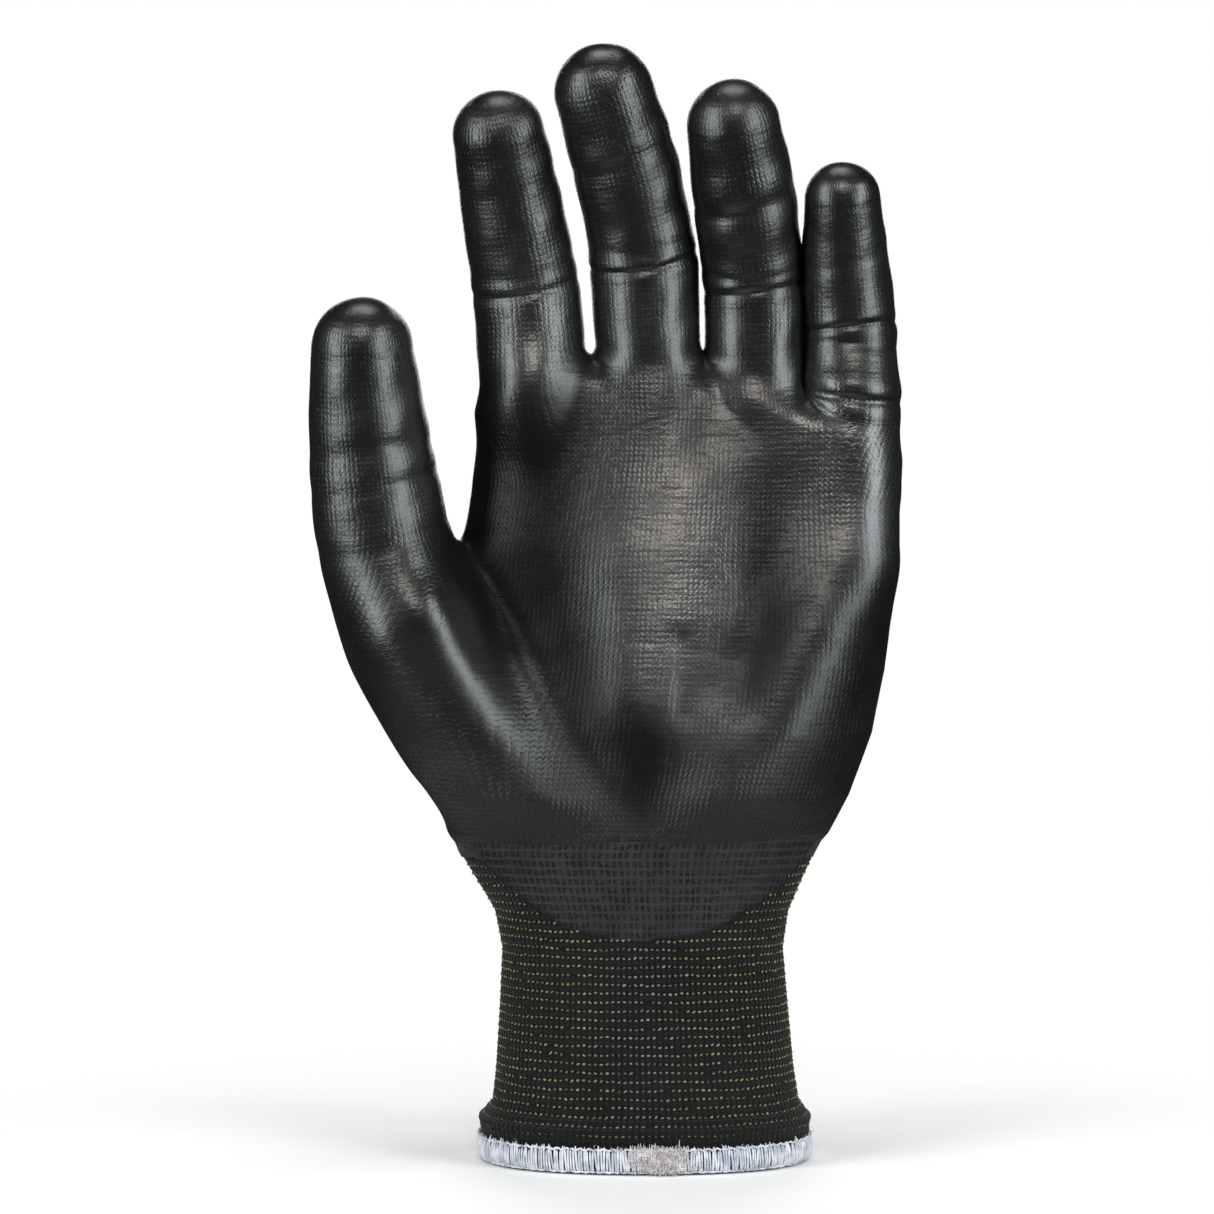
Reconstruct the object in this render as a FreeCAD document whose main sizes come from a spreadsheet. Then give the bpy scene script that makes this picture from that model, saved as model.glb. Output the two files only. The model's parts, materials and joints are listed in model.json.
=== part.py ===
"""Left-hand cut resistant glove: a seamless knit liner with a ribbed cuff, palm-dipped in a thin coating.

Frame: millimetres, +Z up through the fingers, the palm faces -Y and the thumb points to -X.
The origin is the centre of the wrist opening, on the hem's lower face.
The knit shell is lofted through oval sections, in three layers (inside, knit, coating), and is parted at
the wrist, the knuckles and each finger joint. At every joint a soft band fills the gap between the two
rigid stretches that swing about it.
"""

import FreeCAD, Part
import Sketcher
import math
import os

Vector, Rotation, Placement = FreeCAD.Vector, FreeCAD.Rotation, FreeCAD.Placement
doc = FreeCAD.newDocument("cut_resistant_glove")

# ---------------------------------------------------------------- driving dimensions

DIMS = {
    "liner_thick": 1.0,       # knit wall
    "coat_thick": 0.6,        # dipped film on the palm side
    "hinge_back": 0.3,        # the hinge line lies this far behind the middle of the stall
    "hinge_gap": 0.35,        # half of the least gap between two stretches, on the hinge line
    "block": 260.0,           # side of the tool blocks that part the shell
    "cuff_edge_z": 1.2,       # lower edge of the knit, inside the overlock
    "hem_height": 5.2,
    "hem_wrap": 0.9,          # overlock thread on each face of the knit
    "elastic_first_z": 8.0,
    "elastic_pitch": 1.9,
    "elastic_height": 0.7,
    "elastic_thick": 0.35,
    "tack_width": 14.0,
    "tack_height": 4.4,
    "tack_thick": 0.7,
    "coat_edge_y": 3.0,       # the coating wraps this far behind the palm's middle plane
    "coat_low_z": 62.5,       # lower edge of the coating
}
ELASTIC_ROWS = 19

# Sections of the hand tube, flat on the palm and the back and round at the sides:
# centre x, y, z, half width, half depth.
HAND = {
    "hem": (0.4, 0.0, 0.0, 36.2, 25.0),
    "flare": (0.4, 0.0, 6.0, 36.2, 24.8),
    "flare_top": (0.4, 0.0, 10.5, 34.0, 23.4),
    "cuff_low": (0.4, 0.0, 16.0, 33.3, 22.9),
    "cuff_mid": (0.2, 0.0, 30.0, 32.6, 22.5),
    "neck": (-0.1, 0.0, 45.0, 31.0, 21.6),
    "wrist": (-0.2, 0.0, 54.0, 31.9, 21.2),
    "heel_low": (-0.6, -0.3, 63.0, 35.8, 20.8),
    "heel": (-0.6, -0.8, 74.0, 41.6, 20.0),
    "thenar": (1.4, -1.0, 90.0, 46.6, 19.2),
    "mid_palm": (4.0, -0.8, 107.0, 47.8, 18.2),
    "crotch": (6.4, -0.4, 127.0, 47.2, 16.6),
    "upper_palm": (8.6, 0.0, 146.0, 45.6, 15.0),
    "knuckle": (9.2, -0.9, 160.0, 45.5, 13.4),
    "web": (9.6, -1.8, 173.0, 46.2, 12.0),
}
WEB_SLOPE = 5.0               # degrees, the webs fall towards the little finger

# Each finger: root point; for each phalanx its lean towards the thumb and its tilt towards the palm,
# in degrees, and its length; half widths from the root to the last full section.
FINGERS = {
    "index": {
        "root": (-23.6, -1.0, 162.0), "lean": (4, 10, 11), "tilt": (5, 20, 25),
        "run": (29.6, 23.6, 22.0), "half": (11.3, 11.5, 11.5, 11.3, 10.8, 9.9),
    },
    "middle": {
        "root": (2.1, -1.0, 162.0), "lean": (3, 11, 17), "tilt": (5, 20, 24),
        "run": (35.2, 24.0, 27.2), "half": (11.1, 11.3, 11.8, 11.2, 11.3, 10.6),
    },
    "ring": {
        "root": (24.5, -1.0, 162.0), "lean": (0, 6, 9), "tilt": (5, 22, 26),
        "run": (29.0, 20.5, 28.8), "half": (10.4, 10.2, 10.3, 10.2, 10.7, 9.8),
    },
    "little": {
        "root": (44.8, -1.0, 160.0), "lean": (-2, 4, 3), "tilt": (5, 18, 24),
        "run": (22.2, 16.5, 22.2), "half": (9.0, 9.4, 9.5, 9.3, 9.0, 7.9),
    },
}
FINGER_DEPTH = 0.9            # half depth over half width
WEB_SHARE = 0.5               # the web's place along the root run

# Thumb sections: x, y, z, half width, half depth.
THUMB = {
    "inside": (-25.0, -2.0, 74.0, 14.5, 13.5),
    "lobe": (-39.6, -5.5, 95.0, 17.6, 15.6),
    "swell": (-50.2, -8.8, 114.0, 16.4, 15.2),
    "base": (-56.6, -12.0, 130.0, 14.4, 13.6),
    "shank": (-59.4, -14.4, 142.0, 13.9, 13.0),
    "joint": (-60.4, -17.0, 154.0, 13.4, 12.4),
    "pad": (-61.2, -21.0, 168.0, 12.0, 11.2),
}
THUMB_END = 22.4              # from the pad section to the tip
THUMB_TURN = 35.0             # degrees, the thumb bends towards the palm's middle
TIP_RISE = 0.95               # dome height over half width

# Flex allowed at each joint, degrees: bending towards the palm, and straightening back.
FLEX = {
    "wrist": (35.0, 30.0),
    "knuckle": (40.0, 12.0),
    "thumb_base": (46.0, 10.0),
    "thumb_tip": (56.0, 12.0),
    "finger_middle": (48.0, 16.0),
    "finger_tip": (34.0, 12.0),
}

sheet = doc.addObject("Spreadsheet::Sheet", "dims")
row_count = 0


def put(alias, value):
    """Writes one named number to the sheet."""
    global row_count
    row_count += 1
    sheet.set(f"A{row_count}", alias)
    sheet.set(f"B{row_count}", str(float(value)))
    sheet.setAlias(f"B{row_count}", alias)


for alias, value in DIMS.items():
    put(alias, value)
for name, (_x, _y, _z, half_width, half_depth) in HAND.items():
    put(f"hand_{name}_wide", half_width)
    put(f"hand_{name}_deep", half_depth)
for name, (_x, _y, _z, half_width, half_depth) in THUMB.items():
    put(f"thumb_{name}_wide", half_width)
    put(f"thumb_{name}_deep", half_depth)
for finger, facts in FINGERS.items():
    for index, half_width in enumerate(facts["half"]):
        put(f"{finger}_half_{'abcdef'[index]}", half_width)
put("finger_depth", FINGER_DEPTH)
for joint, (forward, back) in FLEX.items():
    put(f"{joint}_forward", forward)
    put(f"{joint}_back", back)
doc.recompute()


def cell(alias):
    return float(sheet.get(alias))


# The three layers are set in from the outermost surface by these amounts.
LAYERS = {
    "coat": "0 mm",
    "knit": "dims.coat_thick * 1 mm",
    "inside": "(dims.coat_thick + dims.liner_thick) * 1 mm",
}
INSET = {"coat": 0.0, "knit": cell("coat_thick"), "inside": cell("coat_thick") + cell("liner_thick")}

# ---------------------------------------------------------------- building blocks


def basis(lateral, along):
    """Rotation whose X is lateral and whose Z is along."""
    z = Vector(along).normalize()
    y = z.cross(lateral).normalize()
    return Rotation(y.cross(z), y, z, "ZXY")


def ellipse(name, centre, turn, wide, deep, share=1.0):
    """One section of a loft, whose radii are sheet expressions."""
    made = doc.addObject("Part::Ellipse", name)
    made.setExpression("MajorRadius", f"({wide}) * {share:.6f}")
    made.setExpression("MinorRadius", f"({deep}) * {share:.6f}")
    made.Placement = Placement(centre, turn)
    return made


def slot(name, centre, turn, wide, deep):
    """One section of the hand tube: two straight sides joined by two half circles."""
    made = doc.addObject("Sketcher::SketchObject", name)
    end, flat = 20.0, 30.0
    made.addGeometry([
        Part.LineSegment(Vector(-flat, -end, 0), Vector(flat, -end, 0)),
        Part.ArcOfCircle(Part.Circle(Vector(flat, 0, 0), Vector(0, 0, 1), end), -math.pi / 2, math.pi / 2),
        Part.LineSegment(Vector(flat, end, 0), Vector(-flat, end, 0)),
        Part.ArcOfCircle(Part.Circle(Vector(-flat, 0, 0), Vector(0, 0, 1), end), math.pi / 2, -math.pi / 2),
    ], False)
    for edge in range(4):
        made.addConstraint(Sketcher.Constraint("Tangent", edge, 2, (edge + 1) % 4, 1))
    made.addConstraint(Sketcher.Constraint("Horizontal", 0))
    made.addConstraint(Sketcher.Constraint("Horizontal", 2))
    made.addConstraint(Sketcher.Constraint("Symmetric", 1, 3, 3, 3, -1, 1))
    radius = made.addConstraint(Sketcher.Constraint("Radius", 1, end))
    span = made.addConstraint(Sketcher.Constraint("DistanceX", 3, 3, 1, 3, 2 * flat))
    made.setExpression(f"Constraints[{radius}]", deep)
    made.setExpression(f"Constraints[{span}]", f"2 * (({wide}) - ({deep}))")
    made.Placement = Placement(centre, turn)
    return made


def loft(name, sections):
    made = doc.addObject("Part::Loft", name)
    made.Sections = sections
    made.Solid = True
    made.Ruled = False
    made.MaxDegree = 3
    return made


def combine(kind, name, base, tool):
    """Part::Cut or Part::Common of two objects."""
    made = doc.addObject(kind, name)
    made.Base = base
    made.Tool = tool
    return made


def fuse(name, shapes):
    made = doc.addObject("Part::MultiFuse", name)
    made.Shapes = shapes
    return made


def dome(name, layer, centre, along, turn, wide, deep, rise):
    """Sections that close a fingertip, on a quarter of an ellipse."""
    made = []
    for step, angle in enumerate((25, 47, 65, 80)):
        radians = math.radians(angle)
        place = centre + along * ((rise - INSET[layer]) * math.sin(radians))
        made.append(ellipse(f"{name}_{step}", place, turn, wide, deep, math.cos(radians)))
    return made


class Joint:
    """A hinge, with the blocks that part the shell there."""

    def __init__(self, name, centre, lateral, along, flex, reach):
        self.name, self.lateral, self.along = name, lateral, along
        place = Placement(centre, basis(lateral, along))
        self.centre = centre = place.multVec(Vector(0, cell("hinge_back"), 0))
        place.Base = centre
        side = cell("block")
        wedges = []
        for face, sign in (("forward", -1), ("back", 1)):
            wedge = doc.addObject("Part::Wedge", f"{name}_{face}_wedge")
            gap = "dims.hinge_gap * 1 mm"
            opening = f"{reach} mm * tan(dims.{flex}_{face} / 2 * 1 deg)"
            wedge.Xmin = wedge.X2min = -side / 2
            wedge.Xmax = wedge.X2max = side / 2
            wedge.Ymin = 0
            wedge.Ymax = reach
            wedge.setExpression("Zmax", gap)
            wedge.setExpression("Zmin", f"-({gap})")
            wedge.setExpression("Z2max", f"{gap} + {opening}")
            wedge.setExpression("Z2min", f"-({gap} + {opening})")
            turn = Rotation(Vector(0, 0, 1), 180 if sign < 0 else 0)
            wedge.Placement = place.multiply(Placement(Vector(0, 0, 0), turn))
            wedges.append(wedge)
        self.gap = fuse(f"{name}_gap", wedges)
        beyond = doc.addObject("Part::Box", f"{name}_beyond")
        beyond.Length = beyond.Width = beyond.Height = side
        beyond.Placement = place.multiply(Placement(Vector(-side / 2, -side / 2, 0), Rotation()))
        self.past = combine("Part::Cut", f"{name}_past", beyond, self.gap)
        self.upto = fuse(f"{name}_upto", [beyond, self.gap])


def node(made, label):
    """Names a finished sub-part."""
    made.Label = label
    nodes.append(made)
    return made


nodes = []
X_AXIS = Vector(1, 0, 0)

# ---------------------------------------------------------------- hand tube


def hand_loft(layer, first="hem"):
    names = list(HAND)
    names = names[names.index(first):]
    sections = []
    for name in names:
        x, y, z, _wide, _deep = HAND[name]
        turn = Rotation(Vector(0, 1, 0), WEB_SLOPE if name == "web" else 0)
        if (name, layer) == ("web", "inside"):
            z -= cell("liner_thick")
        sections.append(slot(
            f"hand_{layer}_{name}", Vector(x, y, z), turn,
            f"dims.hand_{name}_wide * 1 mm - {LAYERS[layer]}",
            f"dims.hand_{name}_deep * 1 mm - {LAYERS[layer]}"))
    return loft(f"hand_{layer}", sections)


hand = {layer: hand_loft(layer) for layer in LAYERS}

# ---------------------------------------------------------------- fingers


def direction(lean, tilt):
    """Unit vector of a phalanx, leaning towards the thumb and tilted towards the palm."""
    lean, tilt = math.radians(lean), math.radians(tilt)
    return Vector(-math.sin(lean) * math.cos(tilt), -math.sin(tilt), math.cos(lean) * math.cos(tilt))


def finger_frame(finger):
    """Joint places, phalanx directions and hinge axes of one finger."""
    facts = FINGERS[finger]
    places = [Vector(*facts["root"])]
    along = [direction(*pair) for pair in zip(facts["lean"], facts["tilt"])]
    for step, run in zip(along[:2], facts["run"]):
        places.append(places[-1] + step * run)
    leans = [math.radians(lean) for lean in facts["lean"]]
    across = [Vector(math.cos(lean), 0, math.sin(lean)) for lean in leans]
    return places, along, across


def finger_loft(finger, layer):
    facts = FINGERS[finger]
    (root, middle_joint, tip_joint), (first, second, third), across = finger_frame(finger)
    rise = facts["half"][5] * TIP_RISE
    last = tip_joint + third * (facts["run"][2] - rise)
    stations = [
        (root, first, X_AXIS),
        (root + first * (facts["run"][0] * WEB_SHARE), first, X_AXIS),
        (middle_joint, first + second, across[1]),
        (middle_joint + second * (facts["run"][1] / 2), second, across[1]),
        (tip_joint, second + third, across[2]),
        (last, third, across[2]),
    ]
    sections = []
    for index, (centre, along, lateral) in enumerate(stations):
        wide = f"dims.{finger}_half_{'abcdef'[index]} * 1 mm - {LAYERS[layer]}"
        deep = f"dims.{finger}_half_{'abcdef'[index]} * dims.finger_depth * 1 mm - {LAYERS[layer]}"
        sections.append(ellipse(f"{finger}_{layer}_{index}", centre, basis(lateral, along), wide, deep))
    turn = basis(across[2], third)
    sections += dome(f"{finger}_{layer}_dome", layer, last, third, turn, wide, deep, rise)
    return loft(f"{finger}_{layer}", sections)


stalls, joints = {}, {}
for finger in FINGERS:
    stalls[finger] = {layer: finger_loft(finger, layer) for layer in LAYERS}
    places, along, across = finger_frame(finger)
    for name, step in (("middle", 1), ("tip", 2)):
        joints[f"{finger}_{name}"] = Joint(
            f"{finger}_{name}", places[step], across[step], (along[step - 1] + along[step]).normalize(),
            f"finger_{name}", 16.0)

# ---------------------------------------------------------------- thumb

thumb_points = {name: Vector(*facts[:3]) for name, facts in THUMB.items()}
turn_angle = math.radians(THUMB_TURN)
thumb_lateral = Vector(math.cos(turn_angle), math.sin(turn_angle), 0)


def thumb_direction(name):
    """Direction of the thumb's centre line at a section."""
    names = list(THUMB)
    index = names.index(name)
    before = thumb_points[names[max(index - 1, 0)]]
    after = thumb_points[names[min(index + 1, len(names) - 1)]]
    return (after - before).normalize()


def thumb_loft(layer):
    sections = []
    for name in THUMB:
        wide = f"dims.thumb_{name}_wide * 1 mm - {LAYERS[layer]}"
        deep = f"dims.thumb_{name}_deep * 1 mm - {LAYERS[layer]}"
        along = thumb_direction(name)
        turn = basis(X_AXIS, along)
        sections.append(ellipse(f"thumb_{layer}_{name}", thumb_points[name], turn, wide, deep))
    rise = THUMB["pad"][3] * TIP_RISE
    last = thumb_points["pad"] + along * (THUMB_END - rise)
    sections.append(ellipse(f"thumb_{layer}_last", last, turn, wide, deep, 0.96))
    sections += dome(f"thumb_{layer}_dome", layer, last, along, turn, wide, deep, rise)
    return loft(f"thumb_{layer}", sections)


stalls["thumb"] = {layer: thumb_loft(layer) for layer in LAYERS}


def thumb_hinge(name, section, flex):
    along = thumb_direction(section)
    across = (thumb_lateral - along * thumb_lateral.dot(along)).normalize()
    return Joint(name, thumb_points[section], across, along, flex, 22.0)


joints["thumb_base"] = thumb_hinge("thumb_base", "base", "thumb_base")
joints["thumb_tip"] = thumb_hinge("thumb_tip", "joint", "thumb_tip")
joints["wrist"] = Joint("wrist", Vector(*HAND["wrist"][:3]), X_AXIS, Vector(0, 0, 1), "wrist", 40.0)
knuckle_centre = Vector(HAND["knuckle"][0], 0, HAND["knuckle"][2] - 3.0)
joints["knuckle"] = Joint("knuckle", knuckle_centre, X_AXIS, Vector(0, 0, 1), "knuckle", 40.0)

# ---------------------------------------------------------------- whole shells

first_joint = {finger: joints[f"{finger}_middle"] for finger in FINGERS}
first_joint["thumb"] = joints["thumb_base"]


def union(layer, trimmed):
    """The hand tube with the roots of all five stalls, each up to its first joint."""
    parts = [hand[layer]]
    for digit, joint in first_joint.items():
        stall = stalls[digit][layer]
        if trimmed:
            stall = combine("Part::Cut", f"{digit}_{layer}_root", stall, joint.upto)
        parts.append(stall)
    return fuse(f"union_{layer}", parts)


hand_shell = combine("Part::Cut", "hand_shell", union("knit", True), union("inside", False))
stall_shell = {d: combine("Part::Cut", f"{d}_shell", s["knit"], s["inside"]) for d, s in stalls.items()}
stall_film = {d: combine("Part::Cut", f"{d}_film", s["coat"], s["knit"]) for d, s in stalls.items()}


def block(name, corner, size, turn=None):
    """A box that marks off a region of the shell."""
    made = doc.addObject("Part::Box", name)
    made.Length, made.Width, made.Height = size
    made.Placement = Placement(corner, turn or Rotation())
    return made


side = cell("block")
cube = (side, side, side)
uncoated_cuff = block("uncoated_cuff", Vector(-side / 2, -side / 2, cell("coat_low_z") - side), cube)
uncoated_back = block("uncoated_back", Vector(-side / 2, cell("coat_edge_y"), 0), cube)
hand_film = combine("Part::Cut", "hand_film", hand["coat"], hand["knit"])
hand_film = combine("Part::Cut", "hand_film_high", hand_film, uncoated_cuff)
hand_film = combine("Part::Cut", "hand_film_front", hand_film, uncoated_back)
hand_film = combine("Part::Cut", "hand_film_open", hand_film, stalls["thumb"]["coat"])


def stall_front(name, joint):
    """The palm-side half of a stall, in the frame of one of its joints."""
    turn = basis(joint.lateral, joint.along)
    corner = joint.centre + turn.multVec(Vector(-side / 2, -side, -side / 2))
    return block(f"{name}_front", corner, (side, side + cell("coat_edge_y"), side), turn)


# ---------------------------------------------------------------- sub-parts


def between(name, label, shell, start, end):
    """The stretch of a shell past one joint and before the next."""
    piece = shell
    if start is not None:
        piece = combine("Part::Common", f"{name}_after", piece, start.past)
    if end is not None:
        piece = combine("Part::Cut", f"{name}_before", piece, end.upto)
    return node(piece, label)


def band(name, label, shell, joint):
    return node(combine("Part::Common", name, shell, joint.gap), label)


# Cuff: knit tube, overlock and elastic.
cuff_raw = combine("Part::Cut", "cuff_raw", hand_shell, joints["wrist"].upto)
edge_block = doc.addObject("Part::Box", "cuff_edge_block")
edge_block.Length = edge_block.Width = side
edge_block.setExpression("Height", "dims.cuff_edge_z * 1 mm")
edge_block.Placement = Placement(Vector(-side / 2, -side / 2, 0), Rotation())
cuff = node(combine("Part::Cut", "cuff", cuff_raw, edge_block), "ribbed_cuff")


def hem_section(name, z, grow):
    x, y, _z, _wide, _deep = HAND["hem"]
    return slot(name, Vector(x, y, z), Rotation(),
                f"dims.hand_hem_wide * 1 mm - ({grow})", f"dims.hand_hem_deep * 1 mm - ({grow})")


wrap_out = "(dims.coat_thick - dims.hem_wrap) * 1 mm"
wrap_in = "(dims.coat_thick + dims.liner_thick + dims.hem_wrap) * 1 mm"
hem_blocks = []
for name, grow in (("out", wrap_out), ("in", wrap_in)):
    low = hem_section(f"hem_{name}_low", 0.0, grow)
    high = hem_section(f"hem_{name}_high", cell("hem_height"), grow)
    hem_blocks.append(loft(f"hem_{name}", [low, high]))
hem_ring = combine("Part::Cut", "hem_ring", hem_blocks[0], hem_blocks[1])
hem = node(combine("Part::Cut", "hem", hem_ring, cuff), "overlock_hem")

tack_block = doc.addObject("Part::Box", "tack_block")
tack_block.setExpression("Length", "dims.tack_width * 1 mm")
tack_block.setExpression("Height", "dims.tack_height * 1 mm")
tack_block.Width = 12.0
tack_block.Placement = Placement(
    Vector(HAND["hem"][0] - cell("tack_width") / 2, -HAND["hem"][4] - 6.0, 0.2), Rotation())
tack_skin = loft("tack_skin", [
    hem_section(f"tack_skin_{z}", z, f"{wrap_out} - dims.tack_thick * 1 mm") for z in (0.0, 5.2)])
tack_ring = combine("Part::Cut", "tack_ring", tack_skin, hem_blocks[0])
tack = node(combine("Part::Common", "tack", tack_ring, tack_block), "overlock_end_tack")

elastic_core = loft("elastic_core", [
    slot(f"elastic_core_{name}", Vector(*HAND[name][:3]), Rotation(),
         f"dims.hand_{name}_wide * 1 mm - {LAYERS['inside']} - dims.elastic_thick * 1 mm",
         f"dims.hand_{name}_deep * 1 mm - {LAYERS['inside']} - dims.elastic_thick * 1 mm")
    for name in list(HAND)[:list(HAND).index("heel")]])
elastic_layer = combine("Part::Cut", "elastic_layer", hand["inside"], elastic_core)
slabs = []
for row in range(ELASTIC_ROWS):
    slab = doc.addObject("Part::Box", f"elastic_slab_{row}")
    slab.Length = slab.Width = side
    slab.setExpression("Height", "dims.elastic_height * 1 mm")
    slab.Placement = Placement(
        Vector(-side / 2, -side / 2, cell("elastic_first_z") + row * cell("elastic_pitch")), Rotation())
    slabs.append(slab)
slab_set = doc.addObject("Part::Compound", "elastic_slabs")
slab_set.Links = slabs
elastic = node(combine("Part::Common", "elastic", elastic_layer, slab_set), "elastic_inlay_yarns")

# Hand: palm and knuckle stretches with the bands at the wrist and knuckles.
band("wrist_band", "wrist_band", hand_shell, joints["wrist"])
between("palm", "palm_liner", hand_shell, joints["wrist"], joints["knuckle"])
band("knuckle_band", "knuckle_band", hand_shell, joints["knuckle"])
between("knuckles", "knuckle_liner", hand_shell, joints["knuckle"], None)
root_film = {}
for digit, joint in first_joint.items():
    front = stall_front(f"{digit}_root", joint)
    film = combine("Part::Common", f"{digit}_root_front", stall_film[digit], front)
    film = combine("Part::Cut", f"{digit}_root_upto", film, joint.upto)
    root_film[digit] = combine("Part::Cut", f"{digit}_root_film", film, hand["coat"])


def together(name, label, pieces):
    made = doc.addObject("Part::Compound", name)
    made.Links = pieces
    return node(made, label)


palm_film = combine("Part::Cut", "palm_film", hand_film, joints["knuckle"].upto)
together("palm_coat", "palm_coating", [palm_film, root_film["thumb"]])
band("knuckle_film", "knuckle_band_coating", hand_film, joints["knuckle"])
knuckle_top = combine("Part::Common", "knuckle_top_film", hand_film, joints["knuckle"].past)
together("knuckle_coat", "knuckle_coating", [knuckle_top] + [root_film[finger] for finger in FINGERS])

# Stalls: two stretches past the first joint, each with its band, in knit and in coating.
for digit in stalls:
    near = first_joint[digit]
    far = joints[f"{digit}_tip"]
    shell, film = stall_shell[digit], stall_film[digit]
    near_film = combine("Part::Common", f"{digit}_near_film", film, stall_front(f"{digit}_near", near))
    far_film = combine("Part::Common", f"{digit}_far_film", film, stall_front(f"{digit}_far", far))
    near_label = "base" if digit == "thumb" else "middle"
    band(f"{digit}_near_band", f"{digit}_{near_label}_band", shell, near)
    band(f"{digit}_near_band_film", f"{digit}_{near_label}_band_coating", near_film, near)
    between(f"{digit}_near", f"{digit}_{near_label}_liner", shell, near, far)
    between(f"{digit}_near_coat", f"{digit}_{near_label}_coating", near_film, near, far)
    band(f"{digit}_far_band", f"{digit}_tip_band", shell, far)
    band(f"{digit}_far_band_film", f"{digit}_tip_band_coating", far_film, far)
    between(f"{digit}_far", f"{digit}_tip_liner", shell, far, None)
    between(f"{digit}_far_coat", f"{digit}_tip_coating", far_film, far, None)

# ---------------------------------------------------------------- checks and files

doc.recompute()
for made in doc.Objects:
    if "Invalid" in made.State or "Error" in made.State:
        raise RuntimeError(f"{made.Name} failed: {made.State}")
os.makedirs("parts", exist_ok=True)
for made in nodes:
    shape = made.Shape
    if shape.isNull() or not shape.isValid() or not shape.Solids:
        raise RuntimeError(f"{made.Label} has no valid solid")
    shape.exportStep(f"parts/{made.Label}.step")
    print(f"{made.Label}: {[round(solid.Volume, 2) for solid in shape.Solids]} mm3")
for name, joint in joints.items():
    print(name, [round(v, 3) for v in joint.centre], [round(v, 4) for v in joint.lateral])
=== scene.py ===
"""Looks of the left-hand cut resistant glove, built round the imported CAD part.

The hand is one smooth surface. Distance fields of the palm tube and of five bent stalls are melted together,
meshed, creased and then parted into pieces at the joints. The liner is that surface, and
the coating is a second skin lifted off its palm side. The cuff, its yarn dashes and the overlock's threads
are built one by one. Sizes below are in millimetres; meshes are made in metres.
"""

import json
import math

import bpy
import numpy as np
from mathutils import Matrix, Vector


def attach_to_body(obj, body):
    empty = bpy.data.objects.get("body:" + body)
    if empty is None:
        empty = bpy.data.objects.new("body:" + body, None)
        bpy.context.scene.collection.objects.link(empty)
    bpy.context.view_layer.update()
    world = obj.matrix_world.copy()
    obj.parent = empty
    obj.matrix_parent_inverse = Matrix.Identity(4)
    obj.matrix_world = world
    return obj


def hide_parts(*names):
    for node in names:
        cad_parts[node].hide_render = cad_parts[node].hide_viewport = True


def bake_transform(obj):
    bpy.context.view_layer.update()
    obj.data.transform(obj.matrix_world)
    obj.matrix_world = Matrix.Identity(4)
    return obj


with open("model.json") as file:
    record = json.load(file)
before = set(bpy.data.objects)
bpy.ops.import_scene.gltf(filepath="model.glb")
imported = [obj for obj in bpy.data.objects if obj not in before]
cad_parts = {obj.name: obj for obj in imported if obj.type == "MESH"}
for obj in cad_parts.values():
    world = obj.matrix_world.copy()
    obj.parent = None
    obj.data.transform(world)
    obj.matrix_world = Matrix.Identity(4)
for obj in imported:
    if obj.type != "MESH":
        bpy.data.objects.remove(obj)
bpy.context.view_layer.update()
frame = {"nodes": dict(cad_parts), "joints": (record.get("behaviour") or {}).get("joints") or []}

MM = 0.001
rng = np.random.default_rng(7)
JOINT = {j["name"]: np.array(j["pos_m"]) / MM for j in frame["joints"]}

# ---------------- sizes

VOXEL = 0.62                  # grid of the hand's mesh
STITCH = 1.15                 # pitch of the hand's knit, both ways
PALM_WALES = 190              # stitches round the palm tube
FINGER_WALES = 56
THUMB_WALES = 76
STALL_GAPS = (1.9, 1.9, 1.3)  # neighbouring stalls never come closer than this, from the index finger on
STALL_MELT = 4.0              # roundness of the corner between a stall and the palm
THUMB_MELT = 9.0
COAT_LIFT = 0.5               # height of the coating over the liner
COAT_SINK = 0.3               # past its edge the coating's skin dips under the liner by this
LINER_LIFT = 0.2
FILM_LIFT = 0.42
FILM_SINK = 0.35
FILM_LOW = 48.0               # lowest row of the film's mesh
COAT_LOW = 70.0               # lower edge of the thick coating
COAT_BACK = 4.5               # the coating wraps this far behind the middle plane
CUFF_TOP = 69.0
CUFF_MELT = 57.0              # above this the cuff lies on the hand's surface
HAND_LOW = 66.0
ROW_PITCH = 1.87              # rows of elastic yarn
FIRST_ROW = 8.2
CUFF_COLUMNS = 140            # ribs round the cuff
DASH_SIDES = 6
HEM_TOP = 5.6
HEM_LOOPS = 330
EDGE_PARTS = 36               # each thread along the edge is made in so many lengths
TACK_SHARE = 0.515            # place of the overlock's join round the cuff, from the middle of the back
FLOOR_RADIUS = 0.2            # metres

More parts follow.
